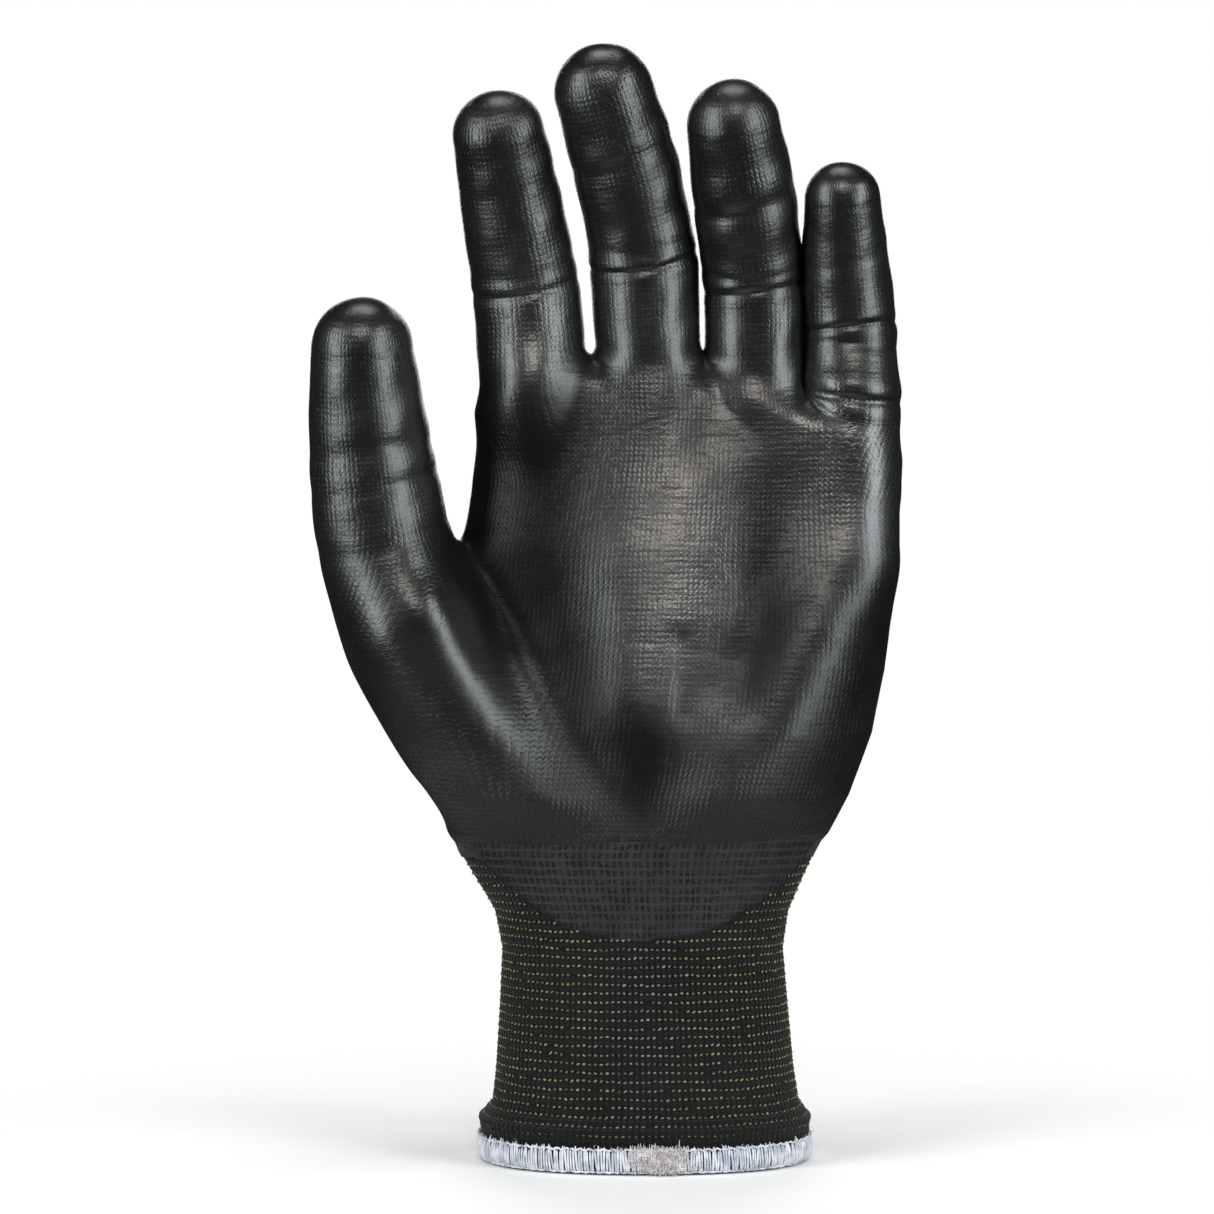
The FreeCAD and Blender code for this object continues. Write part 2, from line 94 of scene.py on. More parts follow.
# Palm tube: height, centre x, centre y, half width, half depth, squareness.
PALM = np.array([
    (0.0, 0.4, 0.0, 35.4, 24.2, 2.3),
    (4.0, 0.4, 0.0, 35.9, 24.3, 2.3),
    (8.6, 0.4, 0.0, 36.1, 24.3, 2.3),
    (10.4, 0.5, 0.0, 35.2, 23.8, 2.3),
    (12.6, 0.6, 0.0, 33.5, 22.9, 2.3),
    (20.0, 0.4, 0.0, 32.5, 22.3, 2.3),
    (32.0, 0.2, 0.0, 31.6, 21.9, 2.3),
    (46.0, -0.1, 0.0, 30.7, 21.4, 2.3),
    (54.0, -0.3, 0.0, 32.1, 21.0, 2.35),
    (60.0, -0.6, 0.0, 35.0, 20.7, 2.4),
    (67.0, -0.8, -0.3, 38.4, 20.3, 2.45),
    (80.0, 1.6, -0.8, 43.0, 19.4, 2.5),
    (93.5, 4.0, -1.0, 45.6, 18.6, 2.5),
    (107.0, 5.8, -1.0, 46.4, 17.6, 2.5),
    (120.0, 6.6, -0.9, 46.4, 16.6, 2.5),
    (133.0, 7.0, -0.8, 46.0, 15.6, 2.5),
    (146.0, 8.1, -0.8, 45.0, 14.0, 2.4),
    (160.0, 9.0, -1.2, 44.6, 11.6, 2.3),
    (176.0, 9.4, -2.0, 44.6, 8.6, 2.2),
])
WEB = np.array([(-37, 171.0), (-24, 175.0), (-12, 176.0), (13, 175.0), (24, 172.0), (35, 167.5), (56, 160.0)])
WEB_ROUND = 9.0

# Stalls: x, y, z, half width at each station, then the height of the dome past the last station.
FINGERS = {
    "index": ([(-22.6, 0, 148, 9.3), (-23.6, -2.2, 162, 10.6), (-24.6, -2.4, 176.8, 11.1),
               (-25.7, -3.2, 191.5, 11.1), (-27.6, -7.6, 202.4, 10.6), (-29.5, -11.7, 213.4, 10.2),
               (-31.7, -17.0, 224.4, 9.3)], 9.0),
    "middle": ([(2.6, 0, 148, 9.4), (2.1, -1, 162, 10.4), (1.2, -2.5, 179.5, 10.9), (0.25, -4.1, 197.1, 11.4),
                (-1.9, -8.2, 208.2, 10.6), (-4.1, -12.3, 219.3, 11.0), (-8.6, -19.1, 233.9, 10.0)], 9.8),
    "ring": ([(24.5, 0, 148, 9.2), (24.5, -1, 162, 10.1), (24.5, -2.3, 176.5, 10.4), (24.5, -3.5, 191, 10.4),
              (23.5, -7.3, 200.4, 10.3), (22.5, -11.2, 209.9, 10.7), (19.8, -19.5, 226.6, 9.3)], 9.1),
    "little": ([(44.4, 0, 148, 8.4), (44.8, -1, 160, 9.0), (45.2, -2, 171, 9.6), (45.6, -2.9, 182.2, 9.7),
                (45.1, -5.4, 190, 9.4), (44.5, -8, 197.9, 8.9), (43.8, -13.8, 210.7, 7.5)], 7.2),
}
THUMB = ([(-25, -2, 74, 12.8), (-38.6, -5.5, 95, 16.6), (-49.6, -8.8, 114, 16.2), (-56, -12, 130, 14.3),
          (-58.5, -14.4, 142, 14.0), (-59.9, -17, 154, 13.0), (-61, -21, 168, 11.5),
          (-61.6, -24, 177.6, 10.3)], 10.3)
THUMB_SIDE = np.array([math.cos(math.radians(35)), math.sin(math.radians(35)), 0.0])
DEPTH_SHARE = 0.92
EYE = (-7.9, -700.0, 120.6)   # the tables above are as seen from here, so nearer points are drawn in a little

# ---------------- distance fields


def smooth(values, width, step=0.5):
    """Gaussian blur of an evenly spaced curve that keeps its ends."""
    reach = int(3 * width / step)
    kernel = np.exp(-0.5 * (np.arange(-reach, reach + 1) * step / width) ** 2)
    padded = np.pad(values, reach, mode="reflect", reflect_type="odd")
    return np.convolve(padded, kernel / kernel.sum(), mode="valid")


def drawn_in(points):
    """Takes the enlargement of perspective out of points given as seen from the eye."""
    shrink = 1 - points[:, 1] / EYE[1]
    out = points.copy()
    out[:, 0] = EYE[0] + (points[:, 0] - EYE[0]) * shrink
    out[:, 2] = EYE[2] + (points[:, 2] - EYE[2]) * shrink
    return out


class Stall:
    """A bent tube with a domed end: its centre line and half width, sampled along its length."""

    def __init__(self, stations, rise, side=(1.0, 0.0, 0.0), blur=4.0):
        stations = drawn_in(np.array(stations, float))
        runs = np.linalg.norm(np.diff(stations[:, :3], axis=0), axis=1)
        at = np.concatenate([[0.0], np.cumsum(runs)])
        self.s = np.arange(0.0, at[-1] + 0.25, 0.5)
        self.centre = np.column_stack([smooth(np.interp(self.s, at, c), blur) for c in stations[:, :3].T])
        self.wide = smooth(np.interp(self.s, at, stations[:, 3]), blur)
        self.along = np.gradient(self.centre, axis=0)
        self.along /= np.linalg.norm(self.along, axis=1)[:, None]
        self.rise, self.side = rise, np.array(side, float)

    def local(self, p):
        """Place along the tube, and offsets to the side, to the back and past the ends."""
        s = np.interp(p[:, 2], self.centre[:, 2], self.s)
        for _ in range(4):
            centre, along = self.at(s)
            s = np.clip(s + np.einsum("ij,ij->i", p - centre, along), 0.0, self.s[-1])
        centre, along = self.at(s)
        across = self.side - along * (along @ self.side)[:, None]
        across /= np.linalg.norm(across, axis=1)[:, None]
        back = np.cross(along, across)
        off = p - centre
        return s, (off * across).sum(1), (off * back).sum(1), (off * along).sum(1)

    def at(self, s):
        centre = np.column_stack([np.interp(s, self.s, c) for c in self.centre.T])
        along = np.column_stack([np.interp(s, self.s, c) for c in self.along.T])
        return centre, along / np.linalg.norm(along, axis=1)[:, None]

    def field(self, p, local=None):
        s, a, b, over = local or self.local(p)
        wide = np.interp(s, self.s, self.wide)
        deep = wide * DEPTH_SHARE
        terms = (a / wide ** 2, b / deep ** 2, over / self.rise ** 2)
        q = np.sqrt(a * terms[0] + b * terms[1] + over * terms[2]) + 1e-6
        slope = np.sqrt(sum(t * t for t in terms)) / q + 1e-4
        return (q - 1) / slope


def palm_local(p):
    """Palm tube's section values at each point's height, and the point's offsets from its centre."""
    x, y, wide, deep, square = (np.interp(p[:, 2], PALM[:, 0], column) for column in PALM_COLUMNS)
    return p[:, 0] - x, p[:, 1] - y, wide, deep, square


def palm_field(p):
    a, b, wide, deep, n = palm_local(p)
    top = np.interp(p[:, 0], WEB[:, 0], WEB[:, 1]) - WEB_ROUND
    over = np.maximum(p[:, 2] - top, 0.0) / WEB_ROUND
    u, v = np.abs(a) / wide, np.abs(b) / deep
    q = (u ** n + v ** n + over ** n + 1e-9) ** (1 / n)
    terms = ((u, wide), (v, deep), (over, WEB_ROUND))
    slope = np.sqrt(sum((share ** (n - 1) / size) ** 2 for share, size in terms))
    return (q - 1) / (slope * q ** (1 - n) + 1e-4)


PALM_COLUMNS = PALM[:, 1:].T
STALLS = {name: Stall(*facts) for name, facts in FINGERS.items()}
STALLS["thumb"] = Stall(*THUMB, side=THUMB_SIDE)
ORDER = ("index", "middle", "ring", "little")


def smooth_min(a, b, radius):
    share = np.clip(0.5 + 0.5 * (b - a) / radius, 0, 1)
    return b + (a - b) * share - radius * share * (1 - share)


def fields(p):
    """Distance to the palm tube and to each stall, neighbours kept apart."""
    found = {name: STALLS[name].field(p) for name in STALLS}
    parted = dict(found)
    for left, right, gap in zip(ORDER, ORDER[1:], STALL_GAPS):
        half = (found[left] - found[right]) / 2
        parted[left] = np.maximum(parted[left], half + gap / 2)
        parted[right] = np.maximum(parted[right], -half + gap / 2)
    parted["palm"] = palm_field(p)
    return parted


def hand_field(p):
    parts = fields(p)
    trunk = smooth_min(parts["palm"], parts["thumb"], THUMB_MELT)
    return np.minimum.reduce([smooth_min(trunk, parts[name], STALL_MELT) for name in ORDER])


def gradient(p, step=0.05):
    slopes = [hand_field(p + d) - hand_field(p - d) for d in np.eye(3) * step]
    return np.column_stack(slopes) / (2 * step)


def project(p, rounds=3):
    """Moves points onto the hand's surface."""
    for _ in range(rounds):
        slope = gradient(p)
        move = slope * (hand_field(p) / ((slope ** 2).sum(1) + 1e-6))[:, None]
        p = p - np.clip(move, -1.0, 1.0)
    return p


# ---------------- meshing

CORNERS = np.array([(i, j, k) for i in (0, 1) for j in (0, 1) for k in (0, 1)])
EDGES = [(a, b) for a in range(8) for b in range(a + 1, 8) if np.abs(CORNERS[a] - CORNERS[b]).sum() == 1]


def grid_values(low, high):
    """The hand's field on a fine grid; far from the surface only its sign is right."""
    coarse = 4 * VOXEL
    counts = np.ceil((high - low) / coarse).astype(int)
    axes = [low[k] + coarse * (np.arange(counts[k]) + 0.5) - VOXEL / 2 for k in range(3)]
    blocks = np.stack(np.meshgrid(*axes, indexing="ij"), -1).reshape(-1, 3)
    rough = hand_field(blocks).reshape(counts)
    fine = rough.repeat(4, 0).repeat(4, 1).repeat(4, 2)
    near = np.argwhere(np.abs(fine) < 1.5 * coarse)
    points = low + near * VOXEL
    for start in range(0, len(points), 400000):
        part = slice(start, start + 400000)
        fine[tuple(near[part].T)] = hand_field(points[part])
    return fine


def surface_nets(values, low):
    """One vertex in every grid cell that the surface crosses, and a quad over every crossed grid edge."""
    inside = values < 0
    cells = np.zeros(np.array(values.shape) - 1, int)
    for corner in CORNERS:
        cells += inside[tuple(slice(c, c + n) for c, n in zip(corner, cells.shape))]
    crossed = np.argwhere((cells > 0) & (cells < 8))
    index = np.full(cells.shape, -1)
    index[tuple(crossed.T)] = np.arange(len(crossed))
    at = [values[tuple((crossed + corner).T)] for corner in CORNERS]
    total, count = np.zeros((len(crossed), 3)), np.zeros(len(crossed))
    for a, b in EDGES:
        cut = (at[a] < 0) != (at[b] < 0)
        share = np.where(cut, at[a] / np.where(cut, at[a] - at[b], 1), 0)
        spot = CORNERS[a] + (CORNERS[b] - CORNERS[a]) * share[:, None]
        total += np.where(cut[:, None], spot, 0)
        count += cut
    verts = low + VOXEL * (crossed + total / count[:, None])
    faces = []
    for axis in range(3):
        u, v = (axis + 1) % 3, (axis + 2) % 3
        first = [slice(0, -1) if k == axis else slice(1, -1) for k in range(3)]
        second = [slice(1, None) if k == axis else slice(1, -1) for k in range(3)]
        change = inside[tuple(first)] != inside[tuple(second)]
        spots = np.argwhere(change) + np.array([0 if k == axis else 1 for k in range(3)])
        outward = inside[tuple(spots.T)]
        ring = []
        for du, dv in ((0, 0), (1, 0), (1, 1), (0, 1)):
            cell = spots.copy()
            cell[:, u] -= du
            cell[:, v] -= dv
            ring.append(index[tuple(cell.T)])
        ring = np.column_stack(ring)
        ring[~outward] = ring[~outward][:, ::-1]
        faces.append(ring)
    return verts, np.concatenate(faces)


def normals_of(verts, faces):
    a, b, c, d = (verts[faces[:, k]] for k in range(4))
    flat = np.cross(c - a, d - b)
    total = np.zeros_like(verts)
    for k in range(4):
        np.add.at(total, faces[:, k], flat)
    return total / (np.linalg.norm(total, axis=1)[:, None] + 1e-12)


def relax(verts, faces, share=0.5):
    """Evens out the spacing of the vertices."""
    total, count = np.zeros_like(verts), np.zeros(len(verts))
    for k in range(4):
        for other in (1, 3):
            np.add.at(total, faces[:, k], verts[faces[:, (k + other) % 4]])
            np.add.at(count, faces[:, k], 1)
    return verts + share * (total / np.maximum(count, 1)[:, None] - verts)


# ---------------- creases and bulges


def step_up(x, low, high):
    t = np.clip((x - low) / (high - low), 0, 1)
    return t * t * (3 - 2 * t)


def waves(x, y, scale, seed):
    """Smooth wandering values between -1 and 1."""
    r = np.random.default_rng(seed)
    total = 0
    for k in range(5):
        angle, phase, pitch = r.uniform(0, 2 * math.pi), r.uniform(0, 6.3), scale * r.uniform(0.6, 1.6)
        total = total + np.sin((x * math.cos(angle) + y * math.sin(angle)) * 2 * math.pi / pitch + phase)
    return total / 5


# Soft troughs and pads of the palm: points (x, z), height at the first and the last point, spread, flatness.
PADS = [
    ([(5, 99), (7, 112), (4, 132), (0, 152)], 2.9, 0.2, 12.5, 4),
    ([(-21, 146), (-20, 128)], -1.7, -1.7, 11.0, 2),
    ([(29, 142), (28, 126)], -1.7, -1.7, 10.0, 2),
    ([(-29, 112), (-19, 95), (-7, 77)], -1.9, -1.9, 6.5, 2),
    ([(19, 108), (10, 92), (3, 77)], -1.9, -1.9, 6.0, 2),
    ([(-48, 117), (-37, 99), (-22, 77)], 4.4, 4.4, 8.5, 2),
    ([(37, 114), (28, 95), (14, 77)], 4.8, 4.4, 8.5, 2),
    ([(46.5, 166), (49, 132)], 4.2, 4.6, 8.0, 2),
    ([(-27, 166), (-24, 171)], 2.4, 2.4, 8.5, 2),
    ([(8, 113), (8, 98)], -0.5, -0.5, 1.8, 2),
    ([(-12, 170), (-15, 158)], -1.0, -1.0, 5.0, 2),
    ([(13, 169), (16, 158)], -1.0, -1.0, 5.0, 2),
]
# Painted shade and painted highlights of the palm, made with the coating's reflection: lower in the hollows
# and along the edges, higher on the ridges. Points (x, z), change of shine, spread.
PAINTED_SHINE = [
    ([(-22, 158), (-21, 118), (-9, 96)], -0.85, 8.5),
    ([(27, 142), (26, 118), (20, 106)], -0.85, 7.0),
    ([(1, 90), (0, 78)], -0.7, 4.0),
    ([(-40, 133), (-30, 118)], -0.8, 6.0),
    ([(50, 122), (40, 84)], -0.7, 7.0),
    ([(7, 110), (7, 138)], 1.0, 8.0),
    ([(41, 158), (40, 138)], 0.8, 7.0),
    ([(-27, 174), (-26, 182)], 0.5, 7.0),
]
# Sharp folds of the palm: points (x, z), depth, half width.
FOLDS = [
    ([(-41, 133), (-35, 126), (-28, 117)], 0.9, 3.2),
    ([(-46, 127), (-41, 118), (-37, 108)], 0.55, 2.4),
    ([(-54, 121), (-49, 113), (-45, 104)], 0.4, 2.6),
    ([(35, 168), (41, 166.5), (48, 165.6), (55, 165.8)], 0.8, 1.2),
    ([(13, 172), (18, 165), (24, 158)], 0.35, 2.2),
]
# Folds across the stalls, by joint: offset along the stall, depth, half width.
RINGS = {
    "index": [("middle", -1, 0.7, 1.6), ("middle", 4.4, 0.35, 2.0), ("tip", 0, 0.3, 2.6)],
    "middle": [("middle", -1, 0.8, 1.1), ("middle", 4, 0.35, 2.2), ("tip", 0, 0.55, 2.4)],
    "ring": [("middle", 0, 0.7, 1.5), ("middle", 4.6, 0.4, 1.5), ("tip", 0, 0.5, 2.2)],
    "little": [("middle", 1, 0.8, 1.0), ("middle", -3.6, 0.4, 1.5), ("tip", 0, 0.3, 2.2)],
    "thumb": [("tip", 2, 0.5, 2.6), ("tip", -6, 0.5, 2.2), ("base", 6, 0.4, 2.2)],
}


def distance_to_line(x, z, points):
    """Distance in the front view to a bent line, and the share of the way along it."""
    best, along = np.full(len(x), 1e9), np.zeros(len(x))
    count = len(points) - 1
    for k in range(count):
        (x0, z0), (x1, z1) = points[k], points[k + 1]
        dx, dz = x1 - x0, z1 - z0
        t = np.clip(((x - x0) * dx + (z - z0) * dz) / (dx * dx + dz * dz), 0, 1)
        far = np.hypot(x - x0 - t * dx, z - z0 - t * dz)
        closer = far < best
        best = np.where(closer, far, best)
        along = np.where(closer, (k + t) / count, along)
    return best, along


def relief(verts, normals, labels, local):
    """How far each vertex of the hand is lifted by pads, folds and slack in the fabric."""
    x, z = verts[:, 0], verts[:, 2]
    front = step_up(-normals[:, 1], 0.05, 0.6)
    on_palm = 1 - step_up(z, 166, 184)
    height = np.zeros(len(verts))
    for points, first, last, spread, flatness in PADS:
        far, along = distance_to_line(x, z, points)
        pad = (first + (last - first) * along) * np.exp(-0.5 * (far / spread) ** flatness)
        height += pad * front * on_palm
    wander = waves(x, z, 26, 3) * 1.3
    for points, depth, half in FOLDS:
        far, along = distance_to_line(x + wander * 0.6, z + wander * 0.5, points)
        ends = np.sin(np.clip(along, 0.04, 0.96) * math.pi) ** 0.6
        lips = np.exp(-((far - 2.6 * half) / (1.6 * half)) ** 2)
        fold = -depth * np.exp(-(far / half) ** 2) + 0.3 * depth * lips
        height += fold * ends * front
    for name, rings in RINGS.items():
        s, a, b, _over = local[name]
        mine = labels == name
        angle = np.arctan2(a, -b)
        for joint, offset, depth, half in rings:
            centre = STALLS[name].local(JOINT[f"{name}_{joint}_flex"][None])[0][0] + offset
            bend = s - centre - 0.9 * np.sin(1.7 * angle + offset) - 0.4 * wander
            reach = np.exp(-(angle / 1.25) ** 2) * 0.9 + 0.25 * np.exp(-((np.abs(angle) - 1.5) / 0.5) ** 2)
            fold = -depth * np.exp(-(bend / half) ** 2) + 0.4 * depth * np.exp(-(bend / (3.2 * half)) ** 2)
            height += np.where(mine, fold * reach, 0)
    slack = waves(x + 0.4 * verts[:, 1], z, 34, 11) * 0.28
    slack += waves(x, z - verts[:, 1], 13, 5) * (0.09 + 0.11 * step_up(z, 120, 175))
    return (height + slack) * step_up(z, 69, 81)


# ---------------- the hand's mesh


def build_hand():
    low = np.array([-80.0, -38.0, HAND_LOW - 4])
    high = np.array([60.0, 24.0, 248.0])
    verts, faces = surface_nets(grid_values(low, high), low)
    verts = project(relax(project(verts, 2), faces), 3)
    keep = verts[faces][:, :, 2].min(1) > HAND_LOW
    return trimmed(verts, faces[keep])


def trimmed(verts, faces, *extra):
    """Drops the vertices that no face uses."""
    used, flat = np.unique(faces, return_inverse=True)
    return (verts[used], flat.reshape(faces.shape)) + tuple(e[used] for e in extra)


def soft_shares(parts):
    """Weights that pass smoothly from one part of the hand to the next."""
    names = list(parts)
    values = np.column_stack([parts[name] for name in names])
    shares = np.exp(-(values - values.min(1)[:, None]) / 1.2)
    return names, shares / shares.sum(1)[:, None]


def wale_table():
    """Wale number round the palm tube, by height and by angle, evenly spaced along each section's edge."""
    heights = np.arange(HAND_LOW - 6, 184, 3.0)
    angles = np.linspace(-math.pi, math.pi, 361)
    rows = []
    for z in heights:
        _x, _y, wide, deep, n = (np.interp(z, PALM[:, 0], column) for column in PALM_COLUMNS)
        u, v = np.sin(angles), np.cos(angles)
        reach = (np.abs(u) ** n + np.abs(v) ** n) ** (-1 / n)
        run = np.concatenate([[0], np.cumsum(np.hypot(np.diff(wide * reach * u), np.diff(deep * reach * v)))])
        rows.append((run / run[-1] - 0.5) * PALM_WALES)
    return heights, angles, np.array(rows)


WALE_TABLE = wale_table()


def palm_wale(p):
    heights, angles, table = WALE_TABLE
    a, b, wide, deep, _n = palm_local(p)
    row = np.clip((p[:, 2] - heights[0]) / 3.0, 0, len(heights) - 1.001)
    column = np.clip((np.arctan2(a / wide, -b / deep) + math.pi) / (angles[1] - angles[0]), 0, 359.999)
    r, c = row.astype(int), column.astype(int)
    fr, fc = row - r, column - c
    low = table[r, c] * (1 - fc) + table[r, c + 1] * fc
    high = table[r + 1, c] * (1 - fc) + table[r + 1, c + 1] * fc
    return low * (1 - fr) + high * fr


def stitch_counts(verts, parts, local):
    """Wale and course numbers over the hand: how many stitches across and up."""
    wale = {"palm": palm_wale(verts)}
    course = {"palm": verts[:, 2] / STITCH}
    for name, stall in STALLS.items():
        s, sa, sb, over = local[name]
        meet = 118.0 if name == "thumb" else 168.0
        s_meet = np.interp(meet, stall.centre[:, 2], stall.s)
        middle, _along = stall.at(np.array([s_meet]))
        middle[:, 1] -= 10
        count = THUMB_WALES if name == "thumb" else FINGER_WALES
        wale[name] = np.round(palm_wale(middle)[0]) + np.arctan2(sa, -sb) / (2 * math.pi) * count
        course[name] = (meet + s + over - s_meet) / STITCH
    names, shares = soft_shares(parts)
    thumb, palm = names.index("thumb"), names.index("palm")
    both = shares[:, thumb] + shares[:, palm]
    turned = both * step_up(parts["palm"] - parts["thumb"], -9, 9) * step_up(verts[:, 2], 100, 140)
    shares[:, palm] = both - turned
    shares[:, thumb] = turned
    return (sum(shares[:, k] * wale[n] for k, n in enumerate(names)),
            sum(shares[:, k] * course[n] for k, n in enumerate(names)))


def evenness(verts, faces, wale, course):
    """1 where the stitches have their proper size, falling to 0 where the numbering is squeezed."""
    total, count = np.zeros(len(verts)), np.zeros(len(verts))
    for k in range(4):
        here, there = faces[:, k], faces[:, (k + 1) % 4]
        change = np.hypot(wale[here] - wale[there], course[here] - course[there])
        pace = change / np.linalg.norm(verts[here] - verts[there], axis=1)
        np.add.at(total, here, pace)
        np.add.at(count, here, 1)
    return 1 - step_up(total / np.maximum(count, 1) * STITCH, 1.3, 1.9)


def coat_margin(verts, parts, local):
    """Distance inside the coating's edge: positive where the glove is dipped."""
    _a, b, _w, _d, _n = palm_local(verts)
    wobble = waves(verts[:, 0], verts[:, 2], 30, 21) * 0.9
    margin = {"palm": COAT_BACK - b}
    for name, stall in STALLS.items():
        s, _sa, sb, over = local[name]
        edge = COAT_BACK + 16 * step_up(s + over, stall.s[-1] - 3, stall.s[-1] + 7)
        margin[name] = edge - sb
    names, shares = soft_shares(parts)
    side = sum(shares[:, k] * margin[n] for k, n in enumerate(names)) + wobble
    low = verts[:, 2] - COAT_LOW - 0.5 * waves(verts[:, 0], verts[:, 1], 40, 8)
    return np.minimum(side, low)


def make_piece(name, verts, faces, material, **numbers):
    """A mesh object from millimetre vertices, with its per-vertex numbers."""
    mesh = bpy.data.meshes.new(name)
    mesh.vertices.add(len(verts))
    mesh.vertices.foreach_set("co", (verts * MM).astype(np.float32).ravel())
    size = faces.shape[1]
    mesh.loops.add(faces.size)
    mesh.loops.foreach_set("vertex_index", faces.astype(np.int32).ravel())
    mesh.polygons.add(len(faces))
    mesh.polygons.foreach_set("loop_start", (np.arange(len(faces)) * size).astype(np.int32))
    mesh.update(calc_edges=True)
    mesh.validate()
    mesh.polygons.foreach_set("use_smooth", np.ones(len(mesh.polygons), bool))
    for key, values in numbers.items():
        layer = mesh.attributes.new(key, "FLOAT", "POINT")
        layer.data.foreach_set("value", np.asarray(values, np.float32))
    mesh.materials.append(material)
    piece = bpy.data.objects.new(name, mesh)
    bpy.context.collection.objects.link(piece)
    return piece


# ---------------- materials


class Nodes:
    """Short forms for building a material's nodes."""

    def __init__(self, name):
        self.material = bpy.data.materials.new(name)
        self.material.use_nodes = True
        self.tree = self.material.node_tree
        self.shader = self.tree.nodes["Principled BSDF"]

    def new(self, kind, **settings):
        node = self.tree.nodes.new(kind)
        for key, value in settings.items():
            setattr(node, key, value)
        return node

    def link(self, source, target):
        self.tree.links.new(source, target)

    def number(self, name):
        return self.new("ShaderNodeAttribute", attribute_name=name).outputs["Fac"]

    def feed(self, socket, value):
        """Sets a socket to a number or a colour, or links another node's output to it."""
        if isinstance(value, (int, float)):
            socket.default_value = value
        elif isinstance(value, tuple):
            socket.default_value = value + (1.0,)
        else:
            self.link(value, socket)

    def math(self, operation, *values, clamp=False):
        node = self.new("ShaderNodeMath", operation=operation, use_clamp=clamp)
        for socket, value in zip(node.inputs, values):
            self.feed(socket, value)
        return node.outputs[0]

    def times(self, first, *others):
        for value in others:
            first = self.math("MULTIPLY", first, value)
        return first

    def plus(self, first, *others):
        for value in others:
            first = self.math("ADD", first, value)
        return first

    def ripple(self, value, pace=1):
        """0 where the value times its pace is a whole number, and 1 half way between."""
        return self.math("ABSOLUTE", self.math("SINE", self.times(value, pace * math.pi)))

    def ramp(self, value, low, high, out_low=0.0, out_high=1.0):
        node = self.new("ShaderNodeMapRange", interpolation_type="SMOOTHSTEP")
        self.link(value, node.inputs["Value"])
        for key, number in zip(("From Min", "From Max", "To Min", "To Max"), (low, high, out_low, out_high)):
            node.inputs[key].default_value = number
        return node.outputs["Result"]

    def noise(self, scale, detail=3.0, roughness=0.55, place=None):
        node = self.new("ShaderNodeTexNoise")
        node.inputs["Scale"].default_value = scale
        node.inputs["Detail"].default_value = detail
        node.inputs["Roughness"].default_value = roughness
        if place is None:
            place = self.new("ShaderNodeTexCoord").outputs["Object"]
        self.link(place, node.inputs["Vector"])
        return node.outputs["Fac"]

    def place(self, *values):
        node = self.new("ShaderNodeCombineXYZ")
        for socket, value in zip(node.inputs, values):
            self.feed(socket, value)
        return node.outputs[0]

    def mix(self, share, first, second):
        node = self.new("ShaderNodeMix", data_type="RGBA")
        for index, value in ((0, share), (6, first), (7, second)):
            self.feed(node.inputs[index], value)
        return node.outputs[2]

    def bump(self, height, distance, strength=1.0):
        node = self.new("ShaderNodeBump")
        node.inputs["Strength"].default_value = strength
        node.inputs["Distance"].default_value = distance
        self.link(height, node.inputs["Height"])
        self.link(node.outputs["Normal"], self.shader.inputs["Normal"])

    def colour(self, value):
        self.feed(self.shader.inputs["Base Color"], value)

    def roughness(self, value):
        self.feed(self.shader.inputs["Roughness"], value)

    def fuzz(self, shine, sheen=0.0, spread=0.5):
        """Dull surface with a faint soft rim."""
        self.shader.inputs["Specular IOR Level"].default_value = shine
        self.shader.inputs["Sheen Weight"].default_value = sheen
        self.shader.inputs["Sheen Roughness"].default_value = spread


def each_stitch(n, wale, course):
    """A random number for every stitch."""
    node = n.new("ShaderNodeTexWhiteNoise", noise_dimensions="2D")
    n.link(n.place(n.math("ROUND", wale), n.math("ROUND", course), 0.0), node.inputs["Vector"])
    return node.outputs["Value"]


def stitch_pattern(n):
    """Plain knit: V-shaped legs in each wale, rungs at each course, and the swaying stitch numbers."""
    sway = n.noise(260.0, 2.0)
    wale = n.plus(n.number("wale"), n.times(sway, 0.9))
    course = n.plus(n.number("course"), n.times(sway, -0.7))
    jitter = n.noise(0.35, 2.0, place=n.place(wale, course, 0.0))
    side = n.math("ABSOLUTE", n.math("SUBTRACT", n.math("FRACT", wale), 0.5))
    leg = n.math("SINE", n.times(n.math("PINGPONG", side, 0.25), 2 * math.pi))
    rung = n.ripple(n.plus(course, n.times(side, 0.9), n.times(jitter, 0.5)))
    return leg, rung, wale, course


